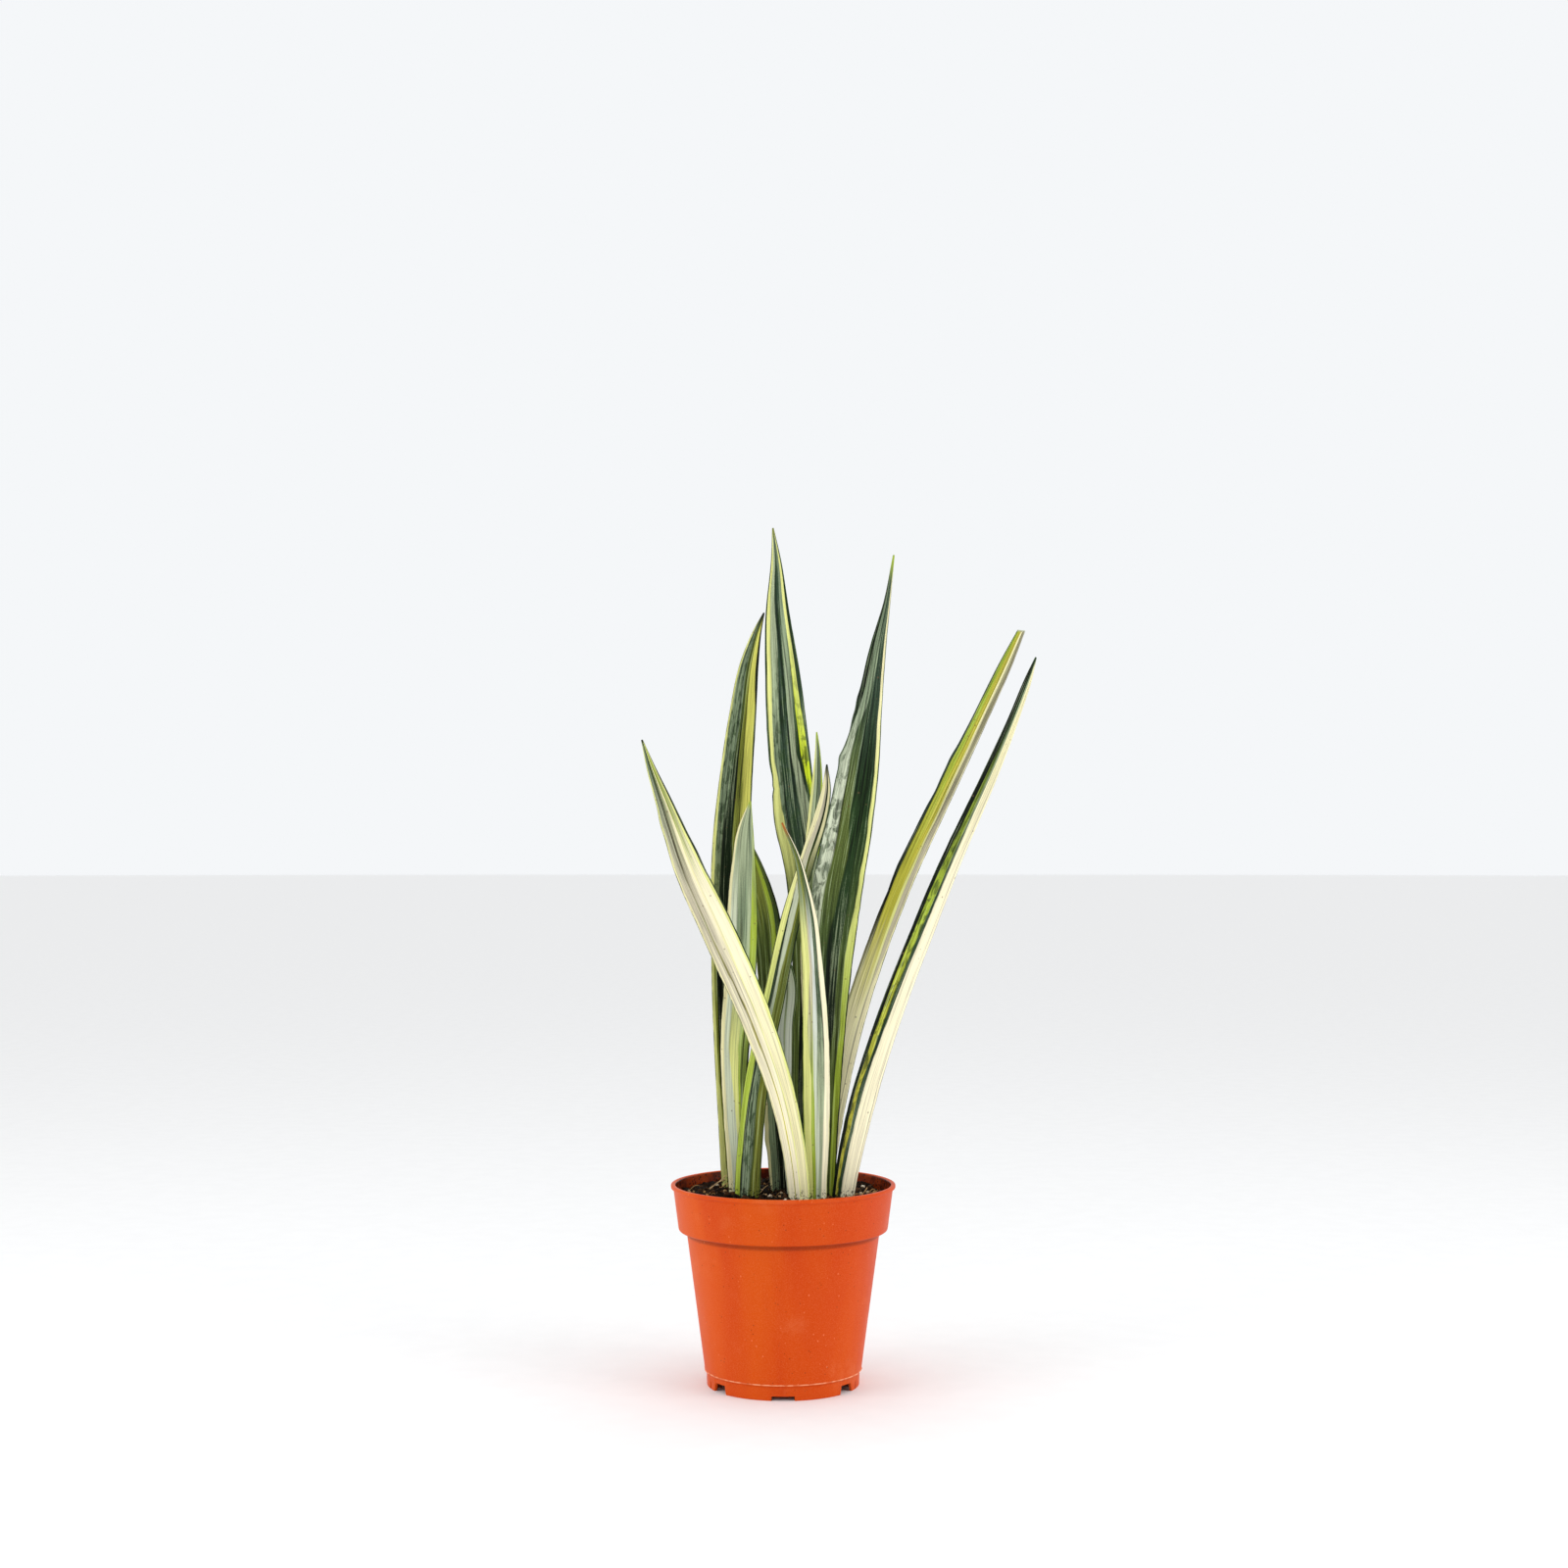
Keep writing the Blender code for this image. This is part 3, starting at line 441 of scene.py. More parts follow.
# --- Leaves ------------------------------------------------------------------------------------
# Rows run up a leaf's middle line as (height, x, y, width) in millimetres about the pot's axis. Stripes
# are named left to right as seen from the front, low, midway and high up; "*" after a name marks a
# stripe broken by dark mottling. Margins give, at a height, where each stripe ends across the blade.
# Lobes push a margin in or out: (height, side, out, spread).
LEAVES = {
    "leaf_front_leaning": dict(
        rows=((LEAF_FOOT, 8, -29, 9), (91, 7.5, -30, 10), (131, 1.5, -33, 11.5), (169, -10.5, -38, 14),
              (215, -30, -46, 15), (241, -42, -51, 13), (267, -51.5, -56, 8), (286, -58.5, -60, 3.7),
              (297, -62, -62, 0.8)),
        turn=(-4, -12), channel=-0.10, levels=(120, 225, 288), slot="leaf_cream", tip=("ink", 3.0),
        low="cream ivory straw ivory ivory butter cream butter leaf",
        middle="cream greige taupe greige ivory cream ivory butter deep",
        high="butter greygreen deep moss cream lime lime butter deep",
        margins=((297, (.08, .35, .42, .55, .60, .68, .80, .90)), (270, (.06, .28, .38, .50, .60, .64, .80, .88)),
                 (240, (.05, .26, .28, .45, .56, .60, .86, .94)), (210, (.05, .22, .245, .42, .52, .56, .90, .965)),
                 (180, (.05, .28, .305, .40, .51, .54, .90, .975)), (140, (.05, .30, .32, .42, .52, .54, .9, .975)),
                 (90, (.05, .30, .31, .42, .52, .54, .90, .98))),
        lobes=((262, -1, 0.5, 5), (246, 1, 0.4, 6))),
    "leaf_tall_left": dict(
        rows=((LEAF_FOOT, -24, 19.5, 8), (83, -24.5, 20, 9), (121, -25.5, 22, 12), (163, -26.5, 27, 15),
              (212, -26.5, 33, 18), (255, -25.5, 39, 18.5), (283, -23.5, 44, 16.5), (312, -20.5, 49, 14),
              (342, -16.5, 54, 9), (356, -13, 56, 4.5), (366, -9.5, 58, 0.8)),
        turn=(-10, -16), channel=0.12, levels=(170, 275, 335), slot="leaf_green", tip=("ink", 12.0),
        low="butter olive ink deep moss deep", middle="butter greygreen* deep olive gold deep",
        high="butter greygreen* moss olive gold ink",
        margins=((366, (.10, .4, .55, .65, .80)), (340, (.08, .42, .52, .62, .86)), (319, (.06, .48, .55, .64, .94)),
                 (281, (.07, .38, .55, .72, .96)), (255, (.09, .27, .55, .70, .96)), (200, (.08, .14, .60, .75, .96)),
                 (140, (.13, .16, .60, .75, .96)), (95, (.30, .34, .60, .75, .95))),
        lobes=()),
    "leaf_mid_left": dict(
        rows=((LEAF_FOOT, -21, 0, 7), (86, -21, 0, 8), (130, -22.5, 3, 11), (153, -22.5, 5, 13.5),
              (188, -20, 8, 15), (215, -19, 10, 15), (242, -18.5, 13, 11.5), (260, -17.5, 15, 7),
              (272, -15.5, 16, 0.8)),
        turn=(6, 12), channel=0.10, levels=(130, 215, 258), slot="leaf_pale", tip=("lime", 5.0),
        low="cream mist butter lime moss deep", middle="cream mist greygreen sage lime moss",
        high="cream sage sage greygreen sage lime",
        margins=((272, (.15, .4, .6, .8, .93)), (246, (.10, .30, .75, .88, .97)), (217, (.12, .32, .66, .76, .97)),
                 (181, (.12, .30, .66, .74, .96)), (156, (.12, .28, .62, .68, .95)), (123, (.15, .55, .70, .76, .92)),
                 (95, (.25, .70, .80, .85, .93))),
        lobes=()),
    "leaf_dark_left": dict(
        rows=((LEAF_FOOT, -2, 8.5, 7), (85, -2, 9, 8), (122, -4, 13, 10.5), (155, -5, 17, 11.5),
              (187, -6, 22, 12.5), (219, -9, 27, 13.5), (241, -14.5, 31, 9), (259, -19.5, 34, 0.8)),
        turn=(-8, -14), channel=0.10, levels=(118, 200, 240), slot="leaf_green", tip=("moss", 5.0),
        low="cream greygreen ink deep ink ink", middle="olive moss moss lime forest ink",
        high="moss moss olive lime moss ink",
        margins=((259, (.05, .2, .6, .8, .95)), (234, (.03, .1, .70, .82, .95)), (200, (.03, .08, .62, .78, .93)),
                 (150, (.08, .15, .62, .75, .93)), (119, (.18, .50, .60, .70, .93)), (90, (.12, .50, .56, .6, .93))),
        lobes=((128, -1, -0.8, 3), (112, -1, 0.5, 4))),
    "leaf_tall_centre": dict(
        rows=((LEAF_FOOT, 11, 13, 8.5), (84, 11, 13.5, 9.5), (141, 10, 16, 11), (187, 11.5, 20, 13.5),
              (234, 10.5, 25, 17.5), (269, 6, 29, 20), (297, 3, 32, 20), (333, 0, 36, 17),
              (362, -2.5, 40, 12), (391, -3.5, 44, 4.7), (406, -5, 46, 0.8)),
        turn=(4, 8), channel=0.12, levels=(200, 290, 365), slot="leaf_green", tip=("olive", 7.0),
        # The low stripes are nearly black: the blade's dark green with painted shade, where its lower part stands in
        # deep shade behind the front leaves.
        low="deep moss ink ink deep ink forest ink",
        middle="forest butter greygreen* slate* sage forest chartreuse* slate",
        high="forest butter sage slate* greygreen greygreen butter forest",
        margins=((406, (.1, .3, .45, .6, .7, .75, .85)), (382, (.06, .18, .35, .62, .70, .74, .90)),
                 (354, (.06, .19, .42, .60, .74, .76, .88)), (327, (.05, .16, .35, .55, .70, .74, .88)),
                 (295, (.05, .12, .28, .54, .68, .76, .95)), (270, (.01, .20, .26, .62, .86, .90, .97)),
                 (246, (.01, .30, .34, .66, .84, .88, .97)), (200, (.02, .30, .36, .75, .84, .88, .97)),
                 (90, (.05, .2, .3, .8, .85, .88, .97))),
        lobes=((284, -1, -0.8, 5), (262, -1, 1.0, 12), (278.5, -1, -0.6, 1.2))),
    "leaf_slim": dict(
        rows=((LEAF_FOOT, 15.5, -2.5, 6), (87, 15.5, -2, 6.5), (142, 14.5, 2, 8), (211, 13, 9, 9),
              (254, 14.5, 14, 7.2), (283, 16.5, 17, 5), (297, 16.5, 19, 2.4), (305, 16, 20, 0.7)),
        turn=(8, 20), channel=0.18, levels=(140, 230, 290), slot="leaf_pale", tip=("lime", 8.0),
        low="cream sage moss sage olive", middle="cream sage moss sage lime", high="butter sage forest greygreen lime",
        margins=((305, (.2, .45, .55, .85)), (200, (.18, .46, .50, .85)), (90, (.2, .5, .54, .8))), lobes=()),
    "leaf_pale_short": dict(
        rows=((LEAF_FOOT, 5, -4.5, 6), (87, 5, -4, 6.5), (120, 2, -1, 7.5), (142, 0.5, 1, 8.5),
              (165, 0.5, 3, 9), (187, 2, 6, 8.5), (197, 1, 7, 4.5), (204, 0.5, 8, 0.7)),
        turn=(5, 5), channel=-0.08, levels=(110, 160, 198), slot="leaf_pale", tip=("sage", 3.0),
        low="mist sage greygreen mist greygreen", middle="mist silver sage silver moss", high="sage mist sage mist forest",
        margins=((204, (.15, .45, .55, .85)), (150, (.12, .50, .56, .92)), (90, (.1, .5, .55, .85))), lobes=()),
    "leaf_crossing": dict(
        rows=((LEAF_FOOT, -17, -14, 10), (90, -17, -13, 12), (116, -15.5, -10.5, 12), (139, -13, -8, 11.5),
              (181, -4.5, -4, 10.5), (222, 4.5, 0, 9.5), (244, 11, 2, 8), (265, 17.5, 4, 7),
              (277, 20, 5, 4.8), (289, 20.5, 6, 0.8)),
        turn=(12, 25), channel=-0.12, levels=(135, 222, 262), slot="leaf_cream", tip=("deep", 9.0),
        low="olive lime deep greygreen* moss olive moss", middle="forest butter forest mist olive moss deep",
        high="forest cream cream greige forest cream forest",
        margins=((289, (.05, .40, .42, .62, .75, .92)), (269, (.03, .42, .43, .68, .78, .94)),
                 (246, (.03, .22, .24, .58, .70, .94)), (223, (.06, .40, .44, .72, .80, .95)),
                 (211, (.06, .40, .47, .75, .82, .95)), (190, (.04, .36, .50, .62, .80, .97)),
                 (148, (.03, .34, .46, .66, .68, .97)), (107, (.03, .28, .33, .70, .74, .97)),
                 (90, (.03, .26, .29, .60, .66, .97))),
        lobes=()),
    "leaf_front_short": dict(
        rows=((LEAF_FOOT, 15.5, -20.5, 8.5), (90, 15.5, -21, 9), (122, 15.5, -23, 12), (165, 15, -26, 12),
              (196, 13.5, -29, 9.5), (217, 11.5, -31, 8.3), (232, 9.5, -33, 5.5), (245, 6.5, -34, 3),
              (261, -0.5, -36, 0.8)),
        turn=(-4, -8), channel=-0.12, levels=(130, 195, 238), slot="leaf_pale", tip=("rust", 9.0),
        low="lime butter lime mist sage ivory butter", middle="olive butter greige silver slate* ivory sage",
        high="olive greygreen olive moss forest ivory forest",
        margins=((261, (.1, .3, .4, .6, .8, .95)), (246, (.08, .25, .35, .60, .72, .90)),
                 (235, (.06, .25, .35, .60, .72, .91)), (218, (.04, .36, .42, .64, .80, .98)),
                 (195, (.02, .34, .45, .55, .74, .98)), (168, (.02, .16, .38, .54, .78, .98)),
                 (144, (.02, .30, .36, .46, .78, .98)), (120, (.02, .28, .42, .60, .72, .98)),
                 (95, (.02, .30, .45, .55, .70, .98))),
        lobes=()),
    "leaf_broad_right": dict(
        rows=((LEAF_FOOT, 18.5, -11, 9.5), (88, 18.5, -11, 10.5), (144, 19, -12.5, 15.5), (189, 20.5, -15, 20.5),
              (234, 25, -18, 23.5), (261, 30, -20.5, 21.5), (288, 34.5, -23, 18.5), (315, 39, -26, 12),
              (341, 43, -29, 7.5), (361, 47, -31, 3.2), (382, 50, -34, 0.8)),
        turn=(-6, -12), channel=0.10, levels=(150, 265, 330), slot="leaf_green", tip=("lime", 14.0),
        low="deep moss* forest ink moss lime deep", middle="slate mist* moss forest forest butter deep",
        high="ink* greygreen slate slate slate cream forest",
        margins=((382, (.15, .35, .5, .65, .8, .95)), (355, (.20, .45, .6, .7, .82, .95)),
                 (335, (.30, .60, .66, .75, .86, .97)), (316, (.18, .46, .55, .72, .88, .97)),
                 (302, (.02, .22, .45, .62, .88, .97)), (285, (.01, .27, .45, .65, .90, .97)),
                 (268, (.01, .26, .48, .68, .91, .97)), (246, (.01, .30, .62, .75, .92, .98)),
                 (223, (.01, .24, .52, .75, .89, .98)), (201, (.02, .22, .42, .70, .82, .98)),
                 (168, (.03, .2, .45, .70, .86, .97)), (144, (.03, .2, .4, .6, .80, .97)),
                 (95, (.05, .2, .35, .55, .75, .95))),
        lobes=((290, -1, 0.9, 3), (301, -1, -0.6, 5), (317, -1, 0.4, 3))),
    "leaf_clipped_right": dict(
        rows=((LEAF_FOOT, 17, 3, 9), (86, 18, 4, 9.8), (130, 25, 10, 10.5), (164, 32.5, 15, 11.5),
              (206, 46.5, 23, 11.5), (241, 61, 30, 11.5), (276, 78, 38, 11), (312, 96, 46, 9.5),
              (341, 110, 52, 8), (357, 117.5, 56, 4.8)),
        turn=(12, 44), channel=0.08, levels=(150, 225, 315), slot="leaf_cream", tip=("mist", 1.2),
        low="cream ivory ivory ivory greige ivory", middle="ink straw straw butter greige cream",
        high="slate lime straw cream taupe greige",
        margins=((357, (.08, .25, .55, .7, .93)), (320, (.10, .3, .55, .65, .95)), (285, (.12, .35, .60, .70, .95)),
                 (263, (.15, .45, .65, .72, .95)), (230, (.14, .40, .60, .70, .95)), (200, (.20, .50, .65, .75, .93)),
                 (185, (.16, .55, .70, .78, .82)), (160, (.04, .2, .5, .74, .765)), (95, (.04, .2, .5, .74, .76))),
        lobes=((292, -1, 0.5, 5), (276, -1, -0.5, 5), (240, -1, 0.4, 6), (226, -1, -0.4, 5))),
    "leaf_outer_right": dict(
        rows=((LEAF_FOOT, 26.5, -16, 9.5), (89, 28, -17, 10.5), (126, 35, -21, 12.5), (167, 47, -27, 12.5),
              (208, 62, -33, 12), (248, 78, -39, 10.5), (280, 92, -45, 8.5), (306, 102.5, -49, 6),
              (326, 109.5, -53, 3.6), (334, 112, -54, 0.8)),
        turn=(-14, -34), channel=-0.10, levels=(125, 230, 312), slot="leaf_cream", tip=("forest", 5.0),
        low="ink straw* slate* ivory greige ivory greige", middle="ink lime* slate* ivory greige ivory greige",
        high="ink forest sage cream greige cream greige",
        margins=((334, (.3, .45, .6, .7, .73, .95)), (305, (.22, .35, .44, .75, .77, .97)),
                 (280, (.20, .36, .44, .80, .82, .97)), (230, (.11, .38, .46, .82, .84, .97)),
                 (200, (.10, .30, .42, .83, .85, .97)), (170, (.10, .28, .38, .82, .84, .97)),
                 (140, (.09, .20, .30, .84, .86, .97)), (120, (.10, .22, .34, .86, .875, .97)),
                 (95, (.10, .18, .28, .86, .875, .97))),
        lobes=()),
}


def smooth_rows(rows, heights):
    """x, y and width at heights: a cubic curve through the rows whose slopes are the rows' own."""
    table = np.array(rows, dtype=float)
    at, values = table[:, 0], table[:, 1:]
    slopes = np.gradient(values, at, axis=0)
    i = np.clip(np.searchsorted(at, heights) - 1, 0, len(at) - 2)
    step = (at[i + 1] - at[i])[:, None]
    f = (heights[:, None] - at[i][:, None]) / step
    start = (1 + 2 * f) * (1 - f) ** 2 * values[i] + f * (1 - f) ** 2 * step * slopes[i]
    end = f ** 2 * (3 - 2 * f) * values[i + 1] + f ** 2 * (f - 1) * step * slopes[i + 1]
    return (start + end).T


def leaf_surface(plan, shape, seed):
    """Points of a leaf: middle line + side * across * half width + front * (lens + channel * across squared).

    Ribs, a slow wave of the margins and the plan's lobes are added to the front and side parts.
    """
    heights = np.linspace(plan["rows"][0][0], plan["rows"][-1][0], shape.rings)
    x, y, width = smooth_rows(plan["rows"], heights)
    middle = np.column_stack([x, y, heights])
    along = np.gradient(middle, heights, axis=0)
    step = np.linalg.norm(along, axis=1)
    along /= step[:, None]
    side = np.cross(np.array([0.0, 1.0, 0.0]), along)
    side /= np.linalg.norm(side, axis=1)[:, None]
    front = np.cross(side, along)
    share = (heights - heights[0]) / (heights[-1] - heights[0])
    turn = np.radians(plan["turn"][0] + (plan["turn"][1] - plan["turn"][0]) * share)[:, None]
    side, front = side * np.cos(turn) + front * np.sin(turn), front * np.cos(turn) - side * np.sin(turn)
    thick_foot, thick_tip = shape.foot_thickness / MM, shape.tip_thickness / MM
    thickness = np.minimum(thick_foot + (thick_tip - thick_foot) * share ** 0.7, 0.35 * width + 0.3)
    channel = plan["channel"] * width * (1.0 + 0.6 * (1.0 - share) ** 3)

    angle = 2 * np.pi * np.arange(shape.sides) / shape.sides
    across = np.cos(angle)[None, :]
    through = np.sin(angle)[None, :]
    half = (width / 2)[:, None] * across
    for height, hand, out, spread in plan["lobes"]:
        bulge = out * np.exp(-((heights - height) / spread) ** 2)
        half = half + hand * bulge[:, None] * np.clip(hand * across, 0.0, 1.0) ** 2
    fade = (np.clip(share * 6, 0, 1) * (1.0 - share ** 3))[:, None]
    lattice = np.stack(np.broadcast_arrays(heights[:, None] / 26.0, np.sign(across) * 2.0 + seed, seed * 1.7), -1)
    wave = shape.wave / MM * soft_noise(lattice, seed) * np.abs(across) ** 3 * (width / 15)[:, None]
    ripple = np.stack(np.broadcast_arrays(across * 6.0, heights[:, None] / 60.0, seed * 0.9), -1)
    rib = shape.rib / MM * soft_noise(ripple, seed + 50) * (width / 12)[:, None] * np.abs(through) ** 0.5
    edge = np.stack(np.broadcast_arrays(heights[:, None] / 4.0, np.sign(across) * 3.0, seed * 2.3), -1)
    half = half + 0.10 * soft_noise(edge, seed + 90) * np.abs(across) ** 4 * np.sign(across) * fade
    lift = through * (thickness / 2)[:, None] + channel[:, None] * across ** 2 + (wave + np.sign(through) * rib) * fade
    points = middle[:, None, :] + side[:, None, :] * half[..., None] + front[:, None, :] * lift[..., None]
    run = np.concatenate([[0.0], np.cumsum(np.diff(heights) * step[1:])])
    return points * MM + AXIS, middle * MM + AXIS, across, heights, run


def stripe_share(plan, across, heights, seed):
    """The stripe coordinate from 0 to 1: across the blade it climbs by one share over each stripe."""
    table = sorted(plan["margins"])
    at = np.array([row[0] for row in table], float)
    ends = np.array([row[1] for row in table], float)
    count = ends.shape[1] + 1
    wander = soft_noise(np.stack(np.broadcast_arrays(heights[:, None] / 11.0, np.arange(count - 1.0)[None, :] * 5.3,
                                                     seed * 3.1), -1), seed + 7) * 0.012
    inner = np.column_stack([np.interp(heights, at, ends[:, i]) for i in range(count - 1)]) + wander
    bounds = np.column_stack([np.zeros(len(heights)), np.clip(inner, 0.002, 0.998), np.ones(len(heights))])
    bounds = np.maximum.accumulate(bounds, axis=1) + np.arange(count + 1) * 1e-4
    part = 0.5 + 0.5 * across[..., None]
    low, high = bounds[:, None, :-1], bounds[:, None, 1:]
    return np.clip((part - low) / (high - low), 0.0, 1.0).sum(axis=-1) / count


def stripe_ramp(n, factor, names, palette, softness=0.07):
    """A colour ramp with one flat stop pair for each stripe; its alpha is the stripe's mottling."""
    stripes = names.split()
    ramp = n.add("ShaderNodeValToRGB")
    n.feed(ramp.inputs[0], factor)
    stops = ramp.color_ramp.elements
    for index, stripe in enumerate(stripes):
        value = (*getattr(palette, stripe.rstrip("*")), 1.0 if stripe.endswith("*") else 0.0)
        places = ((index + softness) / len(stripes), (index + 1 - softness) / len(stripes))
        for order, place in enumerate(places):
            stop = stops[order] if index == 0 else stops.new(place)
            stop.position = place
            stop.color = value
    return ramp.outputs["Color"], ramp.outputs["Alpha"]


def leaf_material(name, plan, palette, run_length):
    """A variegated blade: stripes, fibres, mottling, margin line, dry tip and soil dust at the foot."""
    material, n, shader = new_material(name, 0.45, 0.10, 0.0)
    blade_map = n.add("ShaderNodeUVMap", uv_map="blade").outputs[0]
    stripe_map = n.add("ShaderNodeUVMap", uv_map="stripes").outputs[0]
    blade = n.add("ShaderNodeSeparateXYZ")
    n.feed(blade.inputs[0], blade_map)
    stripe = n.add("ShaderNodeSeparateXYZ")
    n.feed(stripe.inputs[0], stripe_map)
    run = blade.outputs[1]
    fringe = n.noise(n.scaled(blade_map, (1.6, 0.035, 1.0)), 1.0, 3.0, 0.6)
    shift = n.math("MULTIPLY", n.math("SUBTRACT", fringe, 0.5), 0.055)
    factor = n.math("ADD", stripe.outputs[0], shift)
    low, low_mask = stripe_ramp(n, factor, plan["low"], palette)
    middle, middle_mask = stripe_ramp(n, factor, plan["middle"], palette)
    high, high_mask = stripe_ramp(n, factor, plan["high"], palette)
    place = n.add("ShaderNodeTexCoord").outputs["Object"]
    height = n.add("ShaderNodeSeparateXYZ")
    n.feed(height.inputs[0], place)
    uneven = n.noise(n.scaled(blade_map, (0.5, 0.02, 1.0), (3.0, 9.0, 0.0)), 1.0, 2.0)
    level = n.math("ADD", height.outputs[2], n.math("MULTIPLY", n.math("SUBTRACT", uneven, 0.5), 0.05))
    at_low, at_middle, at_high = (value * MM for value in plan["levels"])
    to_middle = n.ramp_between(level, at_low, at_middle)
    to_high = n.ramp_between(level, at_middle, at_high)
    colour = n.mix(to_high, n.mix(to_middle, low, middle), high)
    mask = n.math("MULTIPLY", low_mask, n.math("SUBTRACT", 1.0, to_middle))
    mask = n.math("ADD", mask, n.math("MULTIPLY", middle_mask, n.math("SUBTRACT", to_middle, to_high)))
    mask = n.math("ADD", mask, n.math("MULTIPLY", high_mask, to_high))
    mottled = n.group(effect("mottle"), Colour=colour, Blade=blade_map, Dark=colour4(palette.forest),
                      Amount=n.math("MULTIPLY", mask, 0.74), Length=7.0)
    fibres = n.group(effect("fibres"), Colour=mottled.outputs[0], Blade=blade_map,
                     Thread=colour4(palette.sage), Amount=1.0, Grain=0.70)
    part = n.math("DIVIDE", blade.outputs[0], BLADE_SPAN)
    lined = n.group(effect("margin"), Colour=fibres.outputs[0], Across=part, Blade=blade_map,
                    Line=colour4(palette.forest), Width=0.022, Amount=0.75)
    tip_name, tip_length = plan["tip"]
    to_tip = n.ramp_between(n.math("ADD", run, n.math("MULTIPLY", shift, 60.0)), run_length - tip_length, run_length)
    tipped = n.mix(to_tip, lined.outputs[0], colour4(getattr(palette, tip_name)))
    dust_noise = n.noise(place, 900.0, 3.0, 0.7)
    near_soil = n.ramp_between(height.outputs[2], 0.088, 0.101, 1.0, 0.0)
    dust = n.ramp_between(n.math("ADD", dust_noise, n.math("MULTIPLY", near_soil, 0.22)), 0.70, 0.78)
    dusty = n.mix(n.math("MULTIPLY", dust, near_soil), tipped, colour4(bpy.context.scene.plant_soil.earth))
    spots = n.group(effect("speckle"), Place=place, Scale=260.0, Size=0.16)
    spotted = n.mix(n.math("MULTIPLY", spots.outputs[0], 0.5), dusty, colour4(palette.brown))
    n.feed(shader.inputs["Base Color"], spotted)
    n.feed(shader.inputs["Roughness"], n.ramp_between(fibres.outputs["Height"], 0.3, 0.7, 0.48, 0.34, "LINEAR"))
    add_bump(n, shader, fibres.outputs["Height"], 0.5, 0.0002)
    return material


BLADE_SPAN = 20.0


class PLANT_OT_leaves(Operator):
    """Build the twelve leaves as fine lofts with wandering stripes."""
    bl_idname = "plant.build_leaves"
    bl_label = "Build Leaves"

    def execute(self, context):
        shape = context.scene.plant_shape
        palette = context.scene.plant_colours
        for seed, (name, plan) in enumerate(LEAVES.items(), start=1):
            points, middle, across, heights, run = leaf_surface(plan, shape, seed)
            mesh = skin_mesh(name + "_blade", points, middle[0], middle[-1])
            stripes = stripe_share(plan, across, heights, seed)
            spread = np.broadcast_to(0.5 + 0.5 * across, stripes.shape)
            climb = np.broadcast_to(run[:, None], stripes.shape)
            blade = np.stack([spread * BLADE_SPAN, climb], -1).reshape(-1, 2)
            blade = np.concatenate([blade, [[BLADE_SPAN / 2, run[0]], [BLADE_SPAN / 2, run[-1]]]])
            shares = np.stack([stripes, climb / run[-1]], -1).reshape(-1, 2)
            shares = np.concatenate([shares, [[0.5, 0.0], [0.5, 1.0]]])
            write_uv(mesh, "blade", blade)
            write_uv(mesh, "stripes", shares)
            material = leaf_material(name + "_skin", plan, palette, float(run[-1]))
            add_piece(name + "_blade", mesh, material, plan["slot"], name)
        return {"FINISHED"}


# --- Pot ---------------------------------------------------------------------------------------
def rounded_path(corners, cuts=5):
    """A path through (radius, height, fillet) corners, each corner replaced by a blended arc."""
    table = np.array(corners, float)
    place, fillet = table[:, :2], table[:, 2]
    before = place - np.roll(place, 1, axis=0)
    after = np.roll(place, -1, axis=0) - place
    unit_in = before / np.maximum(np.linalg.norm(before, axis=1), 1e-9)[:, None]
    unit_out = after / np.maximum(np.linalg.norm(after, axis=1), 1e-9)[:, None]
    t = np.linspace(0.0, 1.0, cuts)[None, :, None]
    start = (place - unit_in * fillet[:, None])[:, None, :]
    end = (place + unit_out * fillet[:, None])[:, None, :]
    arcs = (1 - t) ** 2 * start + 2 * t * (1 - t) * place[:, None, :] + t ** 2 * end
    return arcs.reshape(-1, 2)


# The foot ring's lower edge over a quarter turn from the front: (degrees, height of the edge).
FOOT_EDGE = ((0, 2.0), (8.5, 2.0), (8.7, 0), (47.4, 0), (48.8, 4.0), (60.4, 4.0), (62.7, 0), (69.2, 0),
             (69.3, 3.4), (70.7, 3.4), (70.8, 0), (90, 0))
FOOT_RING_TOP = 6.2
POT_CORNERS = (
    (35.6, 6.1, 1.2), (43.7, 70.6, 0.5), (47.75, 72.9, 0.6), (50.2, 91.2, 0.3), (50.35, 93.2, 0.75),
    (52.5, 93.2, 0.75), (52.45, 91.5, 0.5), (51.3, 91.1, 0.3), (48.8, 72.0, 0.9), (45.1, 71.0, 0.35),
    (36.65, 7.5, 0.1), (36.95, 7.15, 0.08), (36.5, 6.8, 0.08), (35.7, 6.3, 0.2), (35.5, 0.0, 0.25),
    (34.3, 0.0, 0.25), (34.3, 5.0, 0.3))


